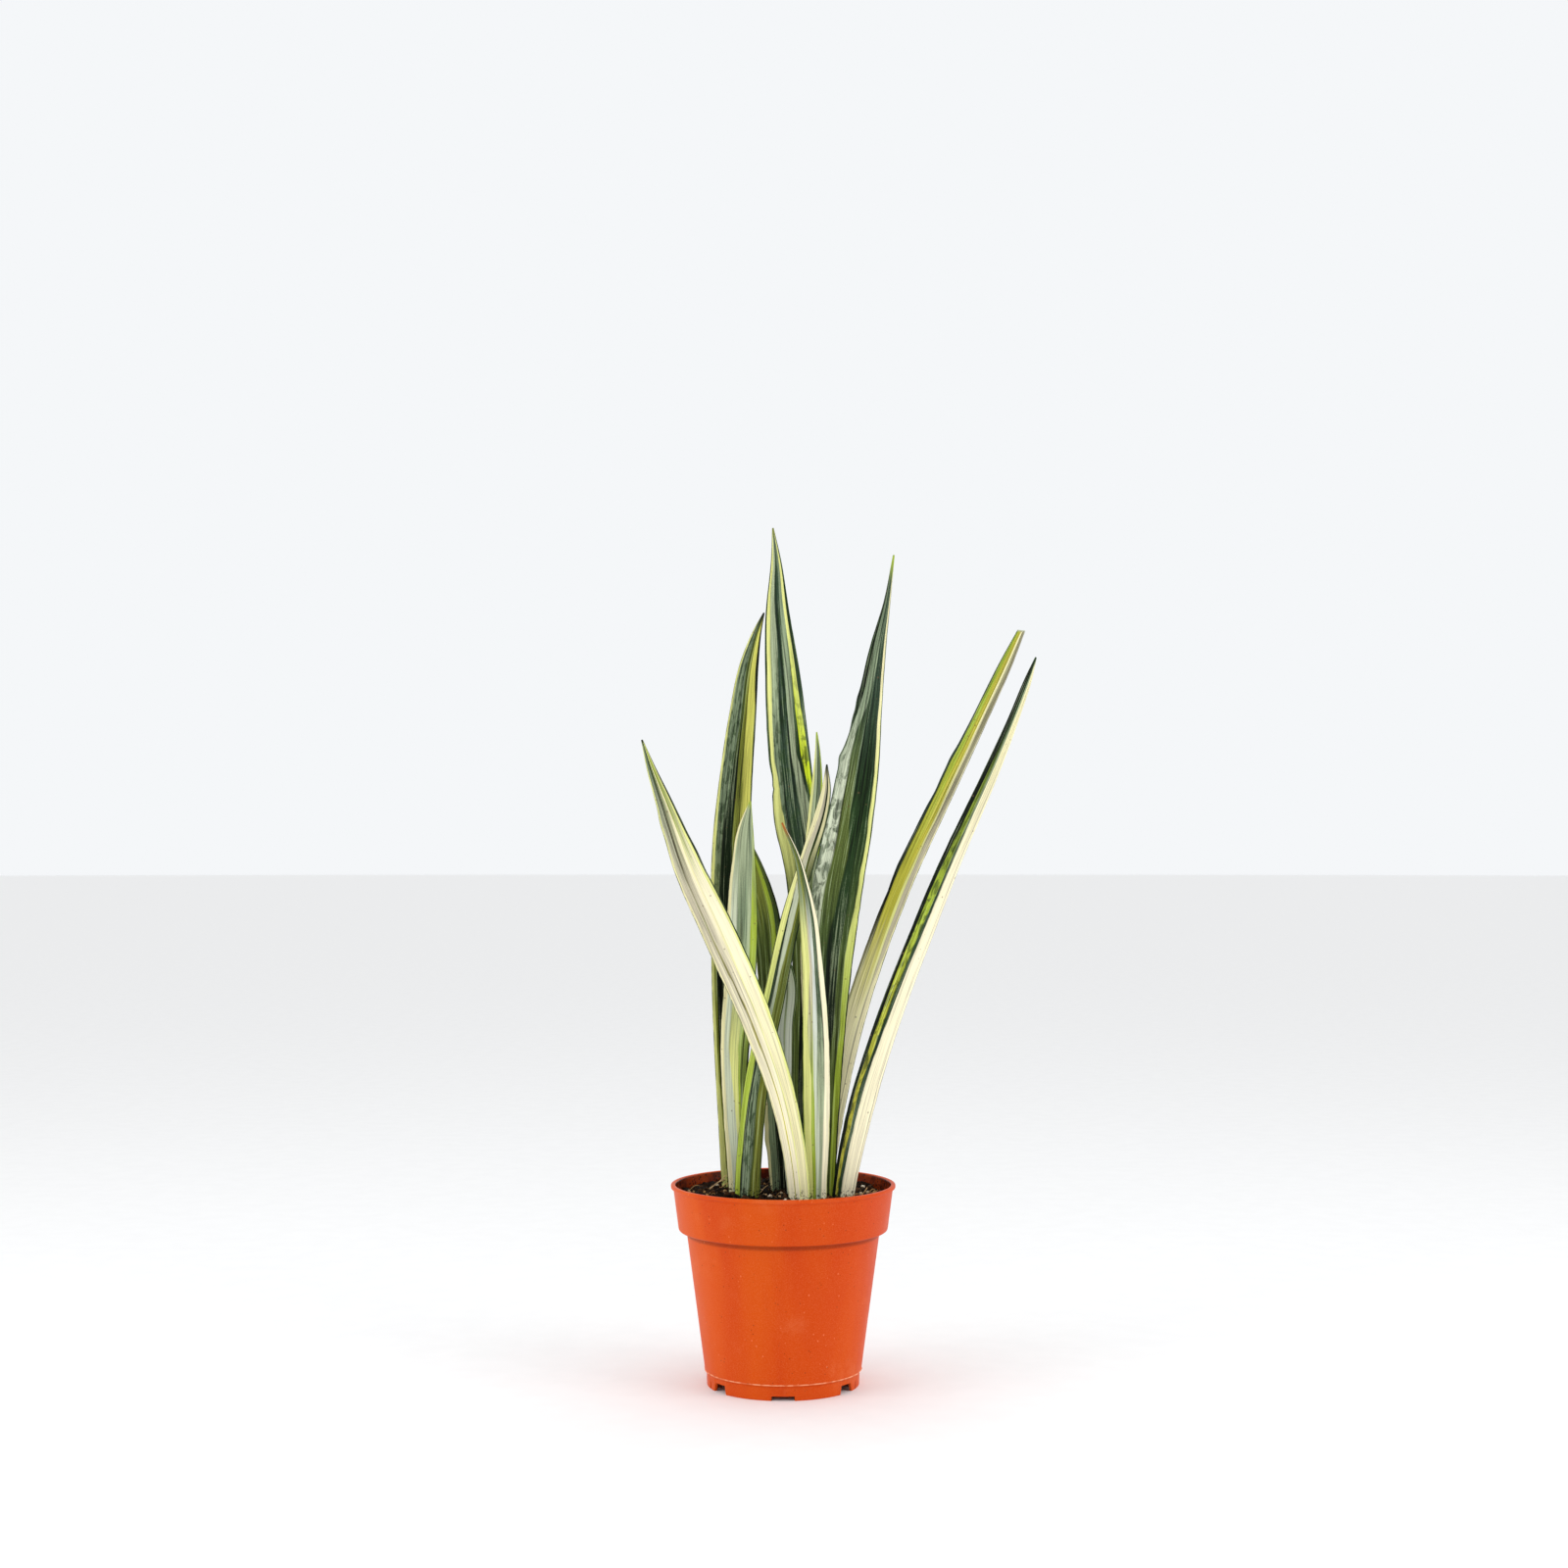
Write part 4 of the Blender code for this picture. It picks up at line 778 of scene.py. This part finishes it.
def pot_surface(steps):
    """The profile turned about the axis; near the foot, heights are squeezed up to the notched edge."""
    edge = np.array(FOOT_EDGE, float)
    corner_angles = np.concatenate([edge[:, 0], -edge[:, 0], 180 - edge[:, 0], 180 + edge[:, 0]]) % 360
    angles = np.unique(np.round(np.concatenate([np.arange(steps) * 360.0 / steps, corner_angles]), 3))
    angles = angles[np.concatenate([[True], np.diff(angles) > 0.05])]
    folded = np.abs((angles + 90.0) % 180.0 - 90.0)
    foot = np.interp(folded, edge[:, 0], edge[:, 1])
    path = rounded_path(POT_CORNERS)
    radius = np.repeat(path[:, :1], len(angles), axis=1)
    height = np.repeat(path[:, 1:], len(angles), axis=1)
    outer_limit = np.where(path[:, 0] > 34.9, FOOT_RING_TOP, 5.0)[:, None]
    in_foot = (height < outer_limit) & (np.arange(len(path)) > len(path) // 2)[:, None]
    squeezed = foot[None, :] + height * (outer_limit - foot[None, :]) / outer_limit
    height = np.where(in_foot, squeezed, height)
    turn = np.radians(angles)[None, :]
    ridge = (np.abs(height - 7.15) < 0.3) & (radius > 36.6)
    flash = soft_noise(np.stack([angles / 3.1, angles * 0, angles * 0 + 4], -1), 5)[None, :]
    radius = radius + np.where(ridge, 0.14 * flash, 0.0)
    sway = soft_noise(np.stack(np.broadcast_arrays(np.sin(turn) * 2, np.cos(turn) * 2, height / 25.0), -1), 9)
    radius = radius - 0.06 * (1.0 + sway) * (radius > 36.0)
    points = np.stack([radius * np.sin(turn), -radius * np.cos(turn), height], -1)
    inside = np.broadcast_to((np.arange(len(path)) < 5 * 5 - 3)[:, None] * 1.0, height.shape)
    return points * MM + AXIS, inside


def pot_material(looks):
    """Moulded plastic: slow flow marks, fine specks, scuffs, painted shade under the band, and an inner wall darkened
    by damp stain and painted shade.
    """
    material, n, shader = new_material("terracotta_plastic", 0.42, 0.10)
    place = n.add("ShaderNodeTexCoord").outputs["Object"]
    centred = n.scaled(place, (1.0, 1.0, 1.0), (-AXIS_X, -AXIS_Y, 0.0))
    flow = n.noise(n.scaled(centred, (30.0, 30.0, 6.0)), 1.0, 3.0, 0.55, 0.4)
    cloud = n.noise(centred, 45.0, 4.0, 0.6)
    colour = n.mix(n.ramp_between(flow, 0.35, 0.72), colour4(looks.plastic), colour4(looks.plastic_deep))
    colour = n.mix(n.ramp_between(cloud, 0.55, 0.80, 0.0, 0.22), colour, colour4(looks.plastic_pale))
    grain = n.noise(centred, 2200.0, 2.0, 0.6)
    colour = n.mix(n.ramp_between(grain, 0.40, 0.72, 0.0, 0.16), colour, colour4(looks.plastic_pale))
    dark_spots = n.group(effect("speckle"), Place=centred, Scale=420.0, Size=0.17)
    colour = n.mix(n.math("MULTIPLY", dark_spots.outputs[0], 0.40), colour, colour4(looks.stain_and_shade))
    pale_spots = n.group(effect("speckle"), Place=n.scaled(centred, (1.0, 1.0, 0.8), (0.3, 0.1, 0.2)), Scale=330.0,
                         Size=0.15)
    colour = n.mix(n.math("MULTIPLY", pale_spots.outputs[0], 0.45), colour, colour4(looks.plastic_pale))
    inside = n.add("ShaderNodeAttribute", attribute_name="inside").outputs["Fac"]
    height = n.add("ShaderNodeSeparateXYZ")
    n.feed(height.inputs[0], centred)
    # Painted shade: a dark line in the stain colour on the wall just under the band's lower edge, where the band
    # shades the body.
    painted_shade_under_band = n.math("MULTIPLY", n.ramp_between(height.outputs[2], 0.0688, 0.0702),
                    n.ramp_between(height.outputs[2], 0.0716, 0.0724, 1.0, 0.0))
    colour = n.mix(n.math("MULTIPLY", painted_shade_under_band, 0.42), colour, colour4(looks.stain_and_shade))
    ridge = n.math("MULTIPLY", n.ramp_between(height.outputs[2], 0.0069, 0.0071),
                   n.ramp_between(height.outputs[2], 0.0073, 0.0076, 1.0, 0.0))
    broken = n.ramp_between(n.noise(centred, 380.0, 2.0), 0.38, 0.60, 0.25, 0.95)
    colour = n.mix(n.math("MULTIPLY", ridge, broken), colour, colour4(looks.flash))
    # The inner wall is darkened towards the stain colour in noisy patches: damp soil stain, plus painted shade inside
    # the pot's mouth.
    splash = n.noise(centred, 260.0, 4.0, 0.7)
    around = n.noise(n.scaled(centred, (22.0, 22.0, 12.0)), 1.0, 2.0)
    wet = n.ramp_between(n.math("ADD", around, n.math("MULTIPLY", splash, 0.4)), 0.50, 0.72, 0.45, 1.0)
    colour = n.mix(n.math("MULTIPLY", inside, wet), colour, colour4(looks.stain_and_shade))
    crumbs = n.group(effect("speckle"), Place=centred, Scale=620.0, Size=0.42)
    earth = colour4(bpy.context.scene.plant_soil.earth)
    colour = n.mix(n.math("MULTIPLY", n.math("MULTIPLY", crumbs.outputs[0], inside), 0.85), colour, earth)
    n.feed(shader.inputs["Base Color"], colour)
    dry = n.ramp_between(cloud, 0.3, 0.7, 0.40, 0.50)
    n.feed(shader.inputs["Roughness"], n.ramp_between(inside, 0.0, 1.0, dry, 0.20, "LINEAR"))
    relief = n.math("ADD", n.math("MULTIPLY", grain, 0.4), n.math("MULTIPLY", flow, 1.2))
    add_bump(n, shader, relief, 0.25, 0.0003)
    return material


def cut_drains(piece):
    """Cut eight round drain holes through the pot's floor and apply the cuts."""
    work = bmesh.new()
    for index in range(8):
        turn = 2 * np.pi * (index + 0.5) / 8
        drill = bmesh.ops.create_cone(work, cap_ends=True, segments=32, radius1=3.5 * MM, radius2=3.5 * MM,
                                      depth=6 * MM)["verts"]
        spot = AXIS + np.array([np.cos(turn) * 26 * MM, np.sin(turn) * 26 * MM, 5.5 * MM])
        bmesh.ops.translate(work, verts=drill, vec=spot)
    mesh = bpy.data.meshes.new("drill")
    work.to_mesh(mesh)
    work.free()
    drill = bpy.data.objects.new("drill", mesh)
    bpy.context.scene.collection.objects.link(drill)
    cut = piece.modifiers.new("drains", "BOOLEAN")
    cut.object = drill
    cut.operation = "DIFFERENCE"
    evaluated = piece.evaluated_get(bpy.context.evaluated_depsgraph_get())
    piece.data = bpy.data.meshes.new_from_object(evaluated)
    piece.modifiers.clear()
    bpy.data.objects.remove(drill, do_unlink=True)


class PLANT_OT_pot(Operator):
    """Turn the pot's wall, band, rim and notched foot ring."""
    bl_idname = "plant.build_pot"
    bl_label = "Build Pot"

    def execute(self, context):
        looks = context.scene.plant_pot
        points, inside = pot_surface(looks.steps)
        centre_top = AXIS + np.array([0.0, 0.0, 6.1 * MM])
        centre_foot = AXIS + np.array([0.0, 0.0, 5.0 * MM])
        mesh = skin_mesh("pot_shell", points, centre_top, centre_foot)
        layer = mesh.attributes.new("inside", "FLOAT", "POINT")
        layer.data.foreach_set("value", np.concatenate([inside.ravel(), [1.0, 0.0]]).astype(np.float32))
        mesh.set_sharp_from_angle(angle=np.radians(50))
        piece = add_piece("pot_shell", mesh, pot_material(looks), "terracotta_plastic", "pot")
        cut_drains(piece)
        return {"FINISHED"}


# --- Soil and litter ---------------------------------------------------------------------------
SOIL_RADIUS = 49.0


def soil_height(x, y):
    """The soil's slow swell, the same as the solid's."""
    swell = np.sin(0.17 * x + 0.6) * np.cos(0.14 * y) + np.sin(0.31 * y - 0.23 * x + 1.9)
    return SOIL_LEVEL + 0.7 * (swell + 0.6 * np.sin(0.52 * x + 0.4 * y)) / 2.6


def soil_surface(lump):
    """A disc of lumpy soil: the slow swell plus three sizes of noise, closed by a wall and a floor."""
    sides = 300
    radius = np.concatenate([np.linspace(0.4, SOIL_RADIUS, 120), [SOIL_RADIUS, 44.0 - 1.0, 36.0 - 1.2, 0.5]])
    turn = 2 * np.pi * np.arange(sides) / sides
    x = radius[:, None] * np.sin(turn)[None, :]
    y = -radius[:, None] * np.cos(turn)[None, :]
    place = np.stack(np.broadcast_arrays(x, y, 0.0), -1)
    relief = 0.9 * soft_noise(place / 5.0, 3) + 0.9 * soft_noise(place / 1.9 + 7, 4) + 0.5 * soft_noise(place / 0.8, 6)
    height = soil_height(x, y) + lump * relief + 0.5
    height[120] = 84.0
    height[121] = 70.0
    height[122] = 6.6
    height[123] = 6.6
    return np.stack([x, y, height], -1) * MM + AXIS


def soil_material(looks):
    """Dark peat: two browns by noise, pale crumbs and a rough broken surface."""
    material, n, shader = new_material("potting_soil", 0.85, 0.05)
    place = n.add("ShaderNodeTexCoord").outputs["Object"]
    broad = n.noise(place, 420.0, 4.0, 0.7)
    fine = n.noise(place, 1500.0, 3.0, 0.7)
    colour = n.mix(n.ramp_between(n.math("MULTIPLY", broad, fine), 0.24, 0.42), colour4(looks.earth),
                   colour4(looks.crumb))
    crumbs = n.group(effect("speckle"), Place=place, Scale=700.0, Size=0.30)
    colour = n.mix(n.math("MULTIPLY", crumbs.outputs[0], 0.6), colour, colour4(looks.bark_pale))
    n.feed(shader.inputs["Base Color"], colour)
    n.feed(shader.inputs["Roughness"], n.ramp_between(broad, 0.35, 0.65, 0.45, 0.95))
    add_bump(n, shader, n.math("ADD", broad, fine), 1.0, 0.0006)
    return material


def litter_material(name, first, second, roughness, scale):
    """Loose bits: a colour that changes from bit to bit, with a fine grain over it."""
    material, n, shader = new_material(name, roughness, 0.06)
    place = n.add("ShaderNodeTexCoord").outputs["Object"]
    tone = n.add("ShaderNodeAttribute", attribute_name="tone").outputs["Fac"]
    grain = n.noise(place, scale, 3.0, 0.65)
    worn = n.ramp_between(n.math("ADD", tone, n.math("MULTIPLY", n.math("SUBTRACT", grain, 0.5), 0.8)), 0.1, 0.9)
    n.feed(shader.inputs["Base Color"], n.mix(worn, colour4(first), colour4(second)))
    n.feed(shader.inputs["Roughness"], n.ramp_between(grain, 0.3, 0.7, roughness, roughness - 0.2))
    add_bump(n, shader, grain, 0.7, 0.0003)
    return material


def bead(rings, sides):
    """A unit ball as a grid of two angles, with its two poles."""
    fall = np.pi * (np.arange(rings) + 1) / (rings + 1)
    turn = 2 * np.pi * np.arange(sides) / sides
    ball = np.stack([np.sin(fall)[:, None] * np.sin(turn), -np.sin(fall)[:, None] * np.cos(turn),
                     np.repeat(np.cos(fall)[:, None], sides, axis=1)], -1)
    return ball


def free_spots(count, rng, clear, reach=46.0):
    """Places on the soil away from every leaf's foot."""
    feet = np.array([smooth_rows(plan["rows"], np.array([89.0])).ravel() for plan in LEAVES.values()])
    spots = rng.uniform(-reach, reach, (count * 6, 2))
    spots = spots[np.hypot(spots[:, 0], spots[:, 1]) < reach]
    away = np.abs(spots[:, None, :] - feet[None, :, :2])
    blocked = (away[..., 0] < feet[:, 2] / 2 + clear) & (away[..., 1] < 2.2 + clear)
    return spots[~blocked.any(axis=1)][:count]


def scatter_mesh(name, spots, sizes, stretch, rng, lift):
    """Many small balls, each stretched, roughened, turned at random and set on the soil."""
    ball = bead(4, 7)
    poles = np.array([[0, 0, 1.0], [0, 0, -1.0]])
    base = np.concatenate([ball.reshape(-1, 3), poles])
    count = len(spots)
    rough = 1.0 + rng.uniform(-0.28, 0.28, (count, len(base), 1))
    shape = base[None] * rough * (sizes[:, None] * rng.uniform(*stretch, (count, 3)))[:, None, :]
    frames = np.linalg.qr(rng.normal(size=(count, 3, 3)))[0]
    frames[np.linalg.det(frames) < 0] *= -1
    turned = np.einsum("nij,nkj->nki", frames, shape)
    height = soil_height(spots[:, 0], spots[:, 1]) + lift
    points = turned + np.column_stack([spots, height])[:, None, :]
    quads, triangles = skin_faces(*ball.shape[:2])
    offset = (np.arange(count) * len(base))[:, None, None]
    mesh = put_mesh(name, points.reshape(-1, 3) * MM + AXIS, (quads[None] + offset).reshape(-1, 4),
                    (triangles[None] + offset).reshape(-1, 3))
    tone = mesh.attributes.new("tone", "FLOAT", "POINT")
    tone.data.foreach_set("value", np.repeat(rng.uniform(0, 1, count), len(base)).astype(np.float32))
    return mesh


def strand_mesh(name, starts, ends, bend, radius, rng, along=12, sides=6):
    """Thin bent tubes: each middle line is a straight run plus a sine bow, with a round section."""
    count = len(starts)
    t = np.linspace(0.0, 1.0, along)
    line = starts[:, None, :] + (ends - starts)[:, None, :] * t[None, :, None]
    line = line + bend[:, None, :] * np.sin(np.pi * t)[None, :, None]
    along_line = np.gradient(line, axis=1)
    along_line /= np.linalg.norm(along_line, axis=2)[..., None]
    side = np.cross(along_line, np.array([0.31, 0.22, 0.92]))
    side /= np.linalg.norm(side, axis=2)[..., None]
    other = np.cross(along_line, side)
    turn = 2 * np.pi * np.arange(sides) / sides
    taper = (0.45 + 0.55 * np.sin(np.pi * (0.08 + 0.84 * t)))[None, :, None, None]
    ring = side[:, :, None, :] * np.cos(turn)[:, None] + other[:, :, None, :] * np.sin(turn)[:, None]
    points = line[:, :, None, :] + ring * radius[:, None, None, None] * taper
    flat = np.concatenate([points.reshape(count, -1, 3), line[:, :1], line[:, -1:]], axis=1)
    quads, triangles = skin_faces(along, sides)
    quads, triangles = quads[:, ::-1], triangles[:, ::-1]
    offset = (np.arange(count) * flat.shape[1])[:, None, None]
    mesh = put_mesh(name, flat.reshape(-1, 3) * MM + AXIS, (quads[None] + offset).reshape(-1, 4),
                    (triangles[None] + offset).reshape(-1, 3))
    tone = mesh.attributes.new("tone", "FLOAT", "POINT")
    tone.data.foreach_set("value", np.repeat(rng.uniform(0, 1, count), flat.shape[1]).astype(np.float32))
    return mesh


class PLANT_OT_soil(Operator):
    """Build the soil and its litter of bark, perlite, fibres and straw."""
    bl_idname = "plant.build_soil"
    bl_label = "Build Soil"

    def execute(self, context):
        looks = context.scene.plant_soil
        rings = soil_surface(looks.lump / MM)
        low = AXIS + np.array([0, 0, 6.6 * MM])
        high = AXIS + np.array([0, 0, soil_height(0.0, 0.0) * MM + 0.5 * MM])
        mesh = skin_mesh("soil_bed", rings, high, low)
        add_piece("soil_bed", mesh, soil_material(looks), "potting_soil", "soil")
        rng = np.random.default_rng(11)
        spots = free_spots(looks.chips, rng, 0.3)
        sizes = rng.gamma(2.2, 0.32, len(spots)).clip(0.3, 1.9)
        chips = scatter_mesh("soil_bark", spots, sizes, (0.35, 1.25), rng, rng.uniform(0.3, 1.6, len(spots)))
        add_piece("soil_bark", chips, litter_material("bark_bits", looks.earth, looks.bark, 0.8, 900.0),
                  "potting_soil")
        spots = free_spots(looks.chips // 12, rng, 0.6)
        sizes = rng.uniform(0.35, 1.0, len(spots))
        pale = scatter_mesh("soil_pale_bark", spots, sizes, (0.3, 1.3), rng, rng.uniform(1.0, 2.1, len(spots)))
        add_piece("soil_pale_bark", pale, litter_material("pale_bark_bits", looks.bark, looks.bark_pale, 0.75, 700.0),
                  "potting_soil")
        spots = np.concatenate([free_spots(looks.grains, rng, 0.8), GRAIN_SPOTS])
        sizes = rng.uniform(0.5, 1.05, len(spots))
        grains = scatter_mesh("soil_perlite", spots, sizes, (0.8, 1.15), rng, rng.uniform(1.0, 2.0, len(spots)))
        add_piece("soil_perlite", grains, litter_material("perlite", looks.bark_pale, looks.perlite, 0.8, 1600.0),
                  "potting_soil")
        self.add_strands(looks, rng)
        return {"FINISHED"}

    def add_strands(self, looks, rng):
        """Short fibres lying over the soil, two long dry straws and two pale curls."""
        spots = free_spots(looks.fibres, rng, 0.8, 44.0)
        count = len(spots)
        turn = rng.uniform(0, 2 * np.pi, count)
        reach = rng.uniform(1.2, 4.5, count)
        starts = np.column_stack([spots, soil_height(*spots.T) + rng.uniform(0.6, 1.6, count)])
        step = np.column_stack([np.cos(turn) * reach, np.sin(turn) * reach, rng.uniform(-0.4, 1.2, count)])
        bend = rng.normal(0, 0.45, (count, 3)) + np.array([0, 0, 0.35])
        fibres = strand_mesh("soil_fibres", starts, starts + step, bend, rng.uniform(0.07, 0.16, count), rng)
        add_piece("soil_fibres", fibres, litter_material("fibres", looks.bark, looks.bark_pale, 0.75, 500.0),
                  "potting_soil")
        table = np.array(STRAWS, float)
        straws = strand_mesh("soil_straws", table[:, :3], table[:, 3:6], table[:, 6:9], table[:, 9], rng, 24, 10)
        add_piece("soil_straws", straws, litter_material("dry_straw", looks.bark_pale, looks.straw_dry, 0.6, 400.0),
                  "potting_soil")


# Perlite grains given one by one, (x, y); and long strands: start, end, bow and radius, in millimetres.
GRAIN_SPOTS = np.array([(-9, -6), (-7.5, 2), (-11, 4), (-6, -14), (-1.5, -16), (-26, -26), (24, -24), (36, -10),
                        (-24, -24), (-35, -14), (2, -34), (29, -28)], float)
STRAWS = (
    (-36, 9, 88.8, -26.8, 11, 95.6, 0.3, 0, -0.6, 0.26), (-35, 7, 88.6, -27.2, 9, 93.6, -0.2, 0, 0.8, 0.22),
    (-31, 6, 88.4, -24.5, 9.5, 92.2, 0.3, 0, 0.9, 0.2), (36, -14, 89.4, 38.5, -11, 92.6, 1.2, 0, 1.4, 0.24),
    (39, -9, 89.2, 43, -8, 90.4, 0.4, 0, 1.8, 0.24), (31, -20, 89.0, 36, -19, 90.0, 0.2, 0.4, 1.6, 0.22),
    (-11, -2, 88.6, -7, 1, 92.0, 0.5, 0, 1.0, 0.18), (-44, 4, 89.0, -39, 6, 91.0, 0, 0, 1.2, 0.18))


class PLANT_OT_rhizomes(Operator):
    """Give the two buried rhizomes a pale, ringed skin."""
    bl_idname = "plant.finish_rhizomes"
    bl_label = "Finish Rhizomes"

    def execute(self, context):
        looks = context.scene.plant_soil
        material, n, shader = new_material("rhizome_skin", 0.6, 0.4)
        place = n.add("ShaderNodeTexCoord").outputs["Object"]
        rings = n.noise(n.scaled(place, (260.0, 260.0, 40.0)), 1.0, 3.0, 0.6)
        fine = n.noise(place, 900.0, 3.0, 0.6)
        skin = n.mix(n.ramp_between(rings, 0.4, 0.65), colour4(looks.root_skin), colour4(looks.bark_pale))
        spots = n.group(effect("speckle"), Place=place, Scale=500.0, Size=0.3)
        n.feed(shader.inputs["Base Color"], n.mix(spots.outputs[0], skin, colour4(looks.bark)))
        n.feed(shader.inputs["Roughness"], n.ramp_between(fine, 0.3, 0.7, 0.5, 0.75))
        add_bump(n, shader, n.math("ADD", rings, fine), 0.6, 0.0005)
        for name in ("rhizome_left", "rhizome_right"):
            slots = frame["nodes"][name].material_slots
            for slot in slots:
                slot.material = material
        return {"FINISHED"}


# --- Stage -------------------------------------------------------------------------------------
def add_light(name, place, aim, size, power, warmth=(1.0, 1.0, 1.0)):
    """A square area light that faces a point."""
    lamp = bpy.data.lights.new(name, "AREA")
    lamp.shape = "RECTANGLE"
    lamp.size, lamp.size_y = size
    lamp.energy = power
    lamp.color = warmth
    item = bpy.data.objects.new(name, lamp)
    bpy.context.scene.collection.objects.link(item)
    item.location = place
    item.rotation_euler = (item.location - aim).to_track_quat("Z", "Y").to_euler()
    item.visible_camera = False
    return item


class PLANT_OT_stage(Operator):
    """Set the pale floor, soft lights, even sky and the camera."""
    bl_idname = "plant.build_stage"
    bl_label = "Build Stage"

    def execute(self, context):
        looks = context.scene.plant_stage
        aim = bpy.data.objects["body:root"].location.copy()
        aim.x, aim.y, aim.z = AXIS_X, AXIS_Y, 0.17
        self.add_floor(looks)
        add_light("left_soft_box", (AXIS_X - 1.0, AXIS_Y - 0.55, 0.55), aim, (0.7, 1.1), looks.side_power)
        add_light("right_soft_box", (AXIS_X + 1.0, AXIS_Y - 0.55, 0.55), aim, (0.7, 1.1), looks.side_power * 1.1)
        add_light("front_soft_box", (AXIS_X, AXIS_Y - 1.5, 1.1), aim, (1.2, 0.8), looks.front_power)
        add_light("top_soft_box", (AXIS_X, AXIS_Y + 0.1, 1.5), aim, (1.2, 1.2), looks.top_power)
        self.add_sky(context, looks)
        context.scene.view_settings.view_transform = "Standard"
        lens = bpy.data.cameras.new("camera")
        lens.lens = looks.lens
        lens.sensor_width = 36.0
        lens.shift_y = looks.rise
        camera = bpy.data.objects.new("camera", lens)
        context.scene.collection.objects.link(camera)
        camera.location = (AXIS_X + 0.0004, AXIS_Y - looks.distance, looks.eye_height)
        camera.rotation_euler = (np.pi / 2, 0.0, 0.0)
        context.scene.camera = camera
        return {"FINISHED"}

    def add_sky(self, context, looks):
        """Even light, dimmer from the front; the camera sees it as a plain pale backdrop."""
        world = bpy.data.worlds.new("studio")
        world.use_nodes = True
        n = Nodes(world.node_tree)
        light = world.node_tree.nodes["Background"]
        seen = n.add("ShaderNodeBackground")
        seen.inputs["Color"].default_value = colour4(looks.backdrop)
        facing = n.add("ShaderNodeSeparateXYZ")
        n.feed(facing.inputs[0], n.add("ShaderNodeTexCoord").outputs["Generated"])
        strength = n.ramp_between(facing.outputs[1], -0.9, 0.1, looks.sky * looks.front_share, looks.sky)
        n.feed(light.inputs["Strength"], strength)
        light.inputs["Color"].default_value = (1.0, 1.0, 1.0, 1.0)
        choose = n.add("ShaderNodeMixShader")
        n.feed(choose.inputs[0], n.add("ShaderNodeLightPath").outputs["Is Camera Ray"])
        n.feed(choose.inputs[1], light.outputs[0])
        n.feed(choose.inputs[2], seen.outputs[0])
        n.feed(world.node_tree.nodes["World Output"].inputs["Surface"], choose.outputs[0])
        context.scene.world = world

    def add_floor(self, looks):
        """A wide flat disc, turned about the pot's axis."""
        radius = np.array([0.2, 0.5, 1.0, 2.0, 4.0, 8.0, 16.0, 30.0])[:, None]
        turn = 2 * np.pi * np.arange(96) / 96
        grid = np.stack([radius * np.sin(turn), -radius * np.cos(turn), radius * 0.0 + turn * 0.0], -1) + AXIS
        quads, triangles = skin_faces(len(radius), 96)
        points = np.concatenate([grid.reshape(-1, 3), [AXIS]])
        mesh = put_mesh("floor", points, quads[:, ::-1], triangles[:96, ::-1])
        material, n, shader = new_material("studio_paper", 0.9, 0.1)
        place = n.add("ShaderNodeTexCoord").outputs["Object"]
        grain = n.ramp_between(n.noise(place, 60.0, 4.0), 0.3, 0.7)
        n.feed(shader.inputs["Base Color"], n.mix(grain, colour4(looks.floor), colour4(looks.floor_grain)))
        floor = bpy.data.objects.new("floor", mesh)
        mesh.materials.append(material)
        bpy.context.scene.collection.objects.link(floor)


class PLANT_PT_panel(Panel):
    """Lists the plant's builders."""
    bl_idname = "PLANT_PT_panel"
    bl_label = "Snake Plant"
    bl_space_type = "VIEW_3D"
    bl_region_type = "UI"
    bl_category = "Plant"

    def draw(self, context):
        for builder in BUILDERS:
            self.layout.operator(builder.bl_idname)


PROPERTIES = {"plant_colours": PlantLeafColours, "plant_shape": PlantLeafShape, "plant_pot": PlantPotLooks,
              "plant_soil": PlantSoilLooks, "plant_stage": PlantStageLooks}
BUILDERS = (PLANT_OT_leaves, PLANT_OT_pot, PLANT_OT_soil, PLANT_OT_rhizomes, PLANT_OT_stage)


def register():
    for group in PROPERTIES.values():
        bpy.utils.register_class(group)
    for builder in BUILDERS:
        bpy.utils.register_class(builder)
    bpy.utils.register_class(PLANT_PT_panel)
    for name, group in PROPERTIES.items():
        setattr(bpy.types.Scene, name, PointerProperty(type=group))


def unregister():
    for name in PROPERTIES:
        delattr(bpy.types.Scene, name)
    bpy.utils.unregister_class(PLANT_PT_panel)
    for builder in reversed(BUILDERS):
        bpy.utils.unregister_class(builder)
    for group in reversed(PROPERTIES.values()):
        bpy.utils.unregister_class(group)


def main():
    """Build everything in order."""
    register()
    bpy.ops.plant.build_leaves()
    bpy.ops.plant.build_pot()
    bpy.ops.plant.build_soil()
    bpy.ops.plant.finish_rhizomes()
    bpy.ops.plant.build_stage()


if __name__ == "__main__":
    main()
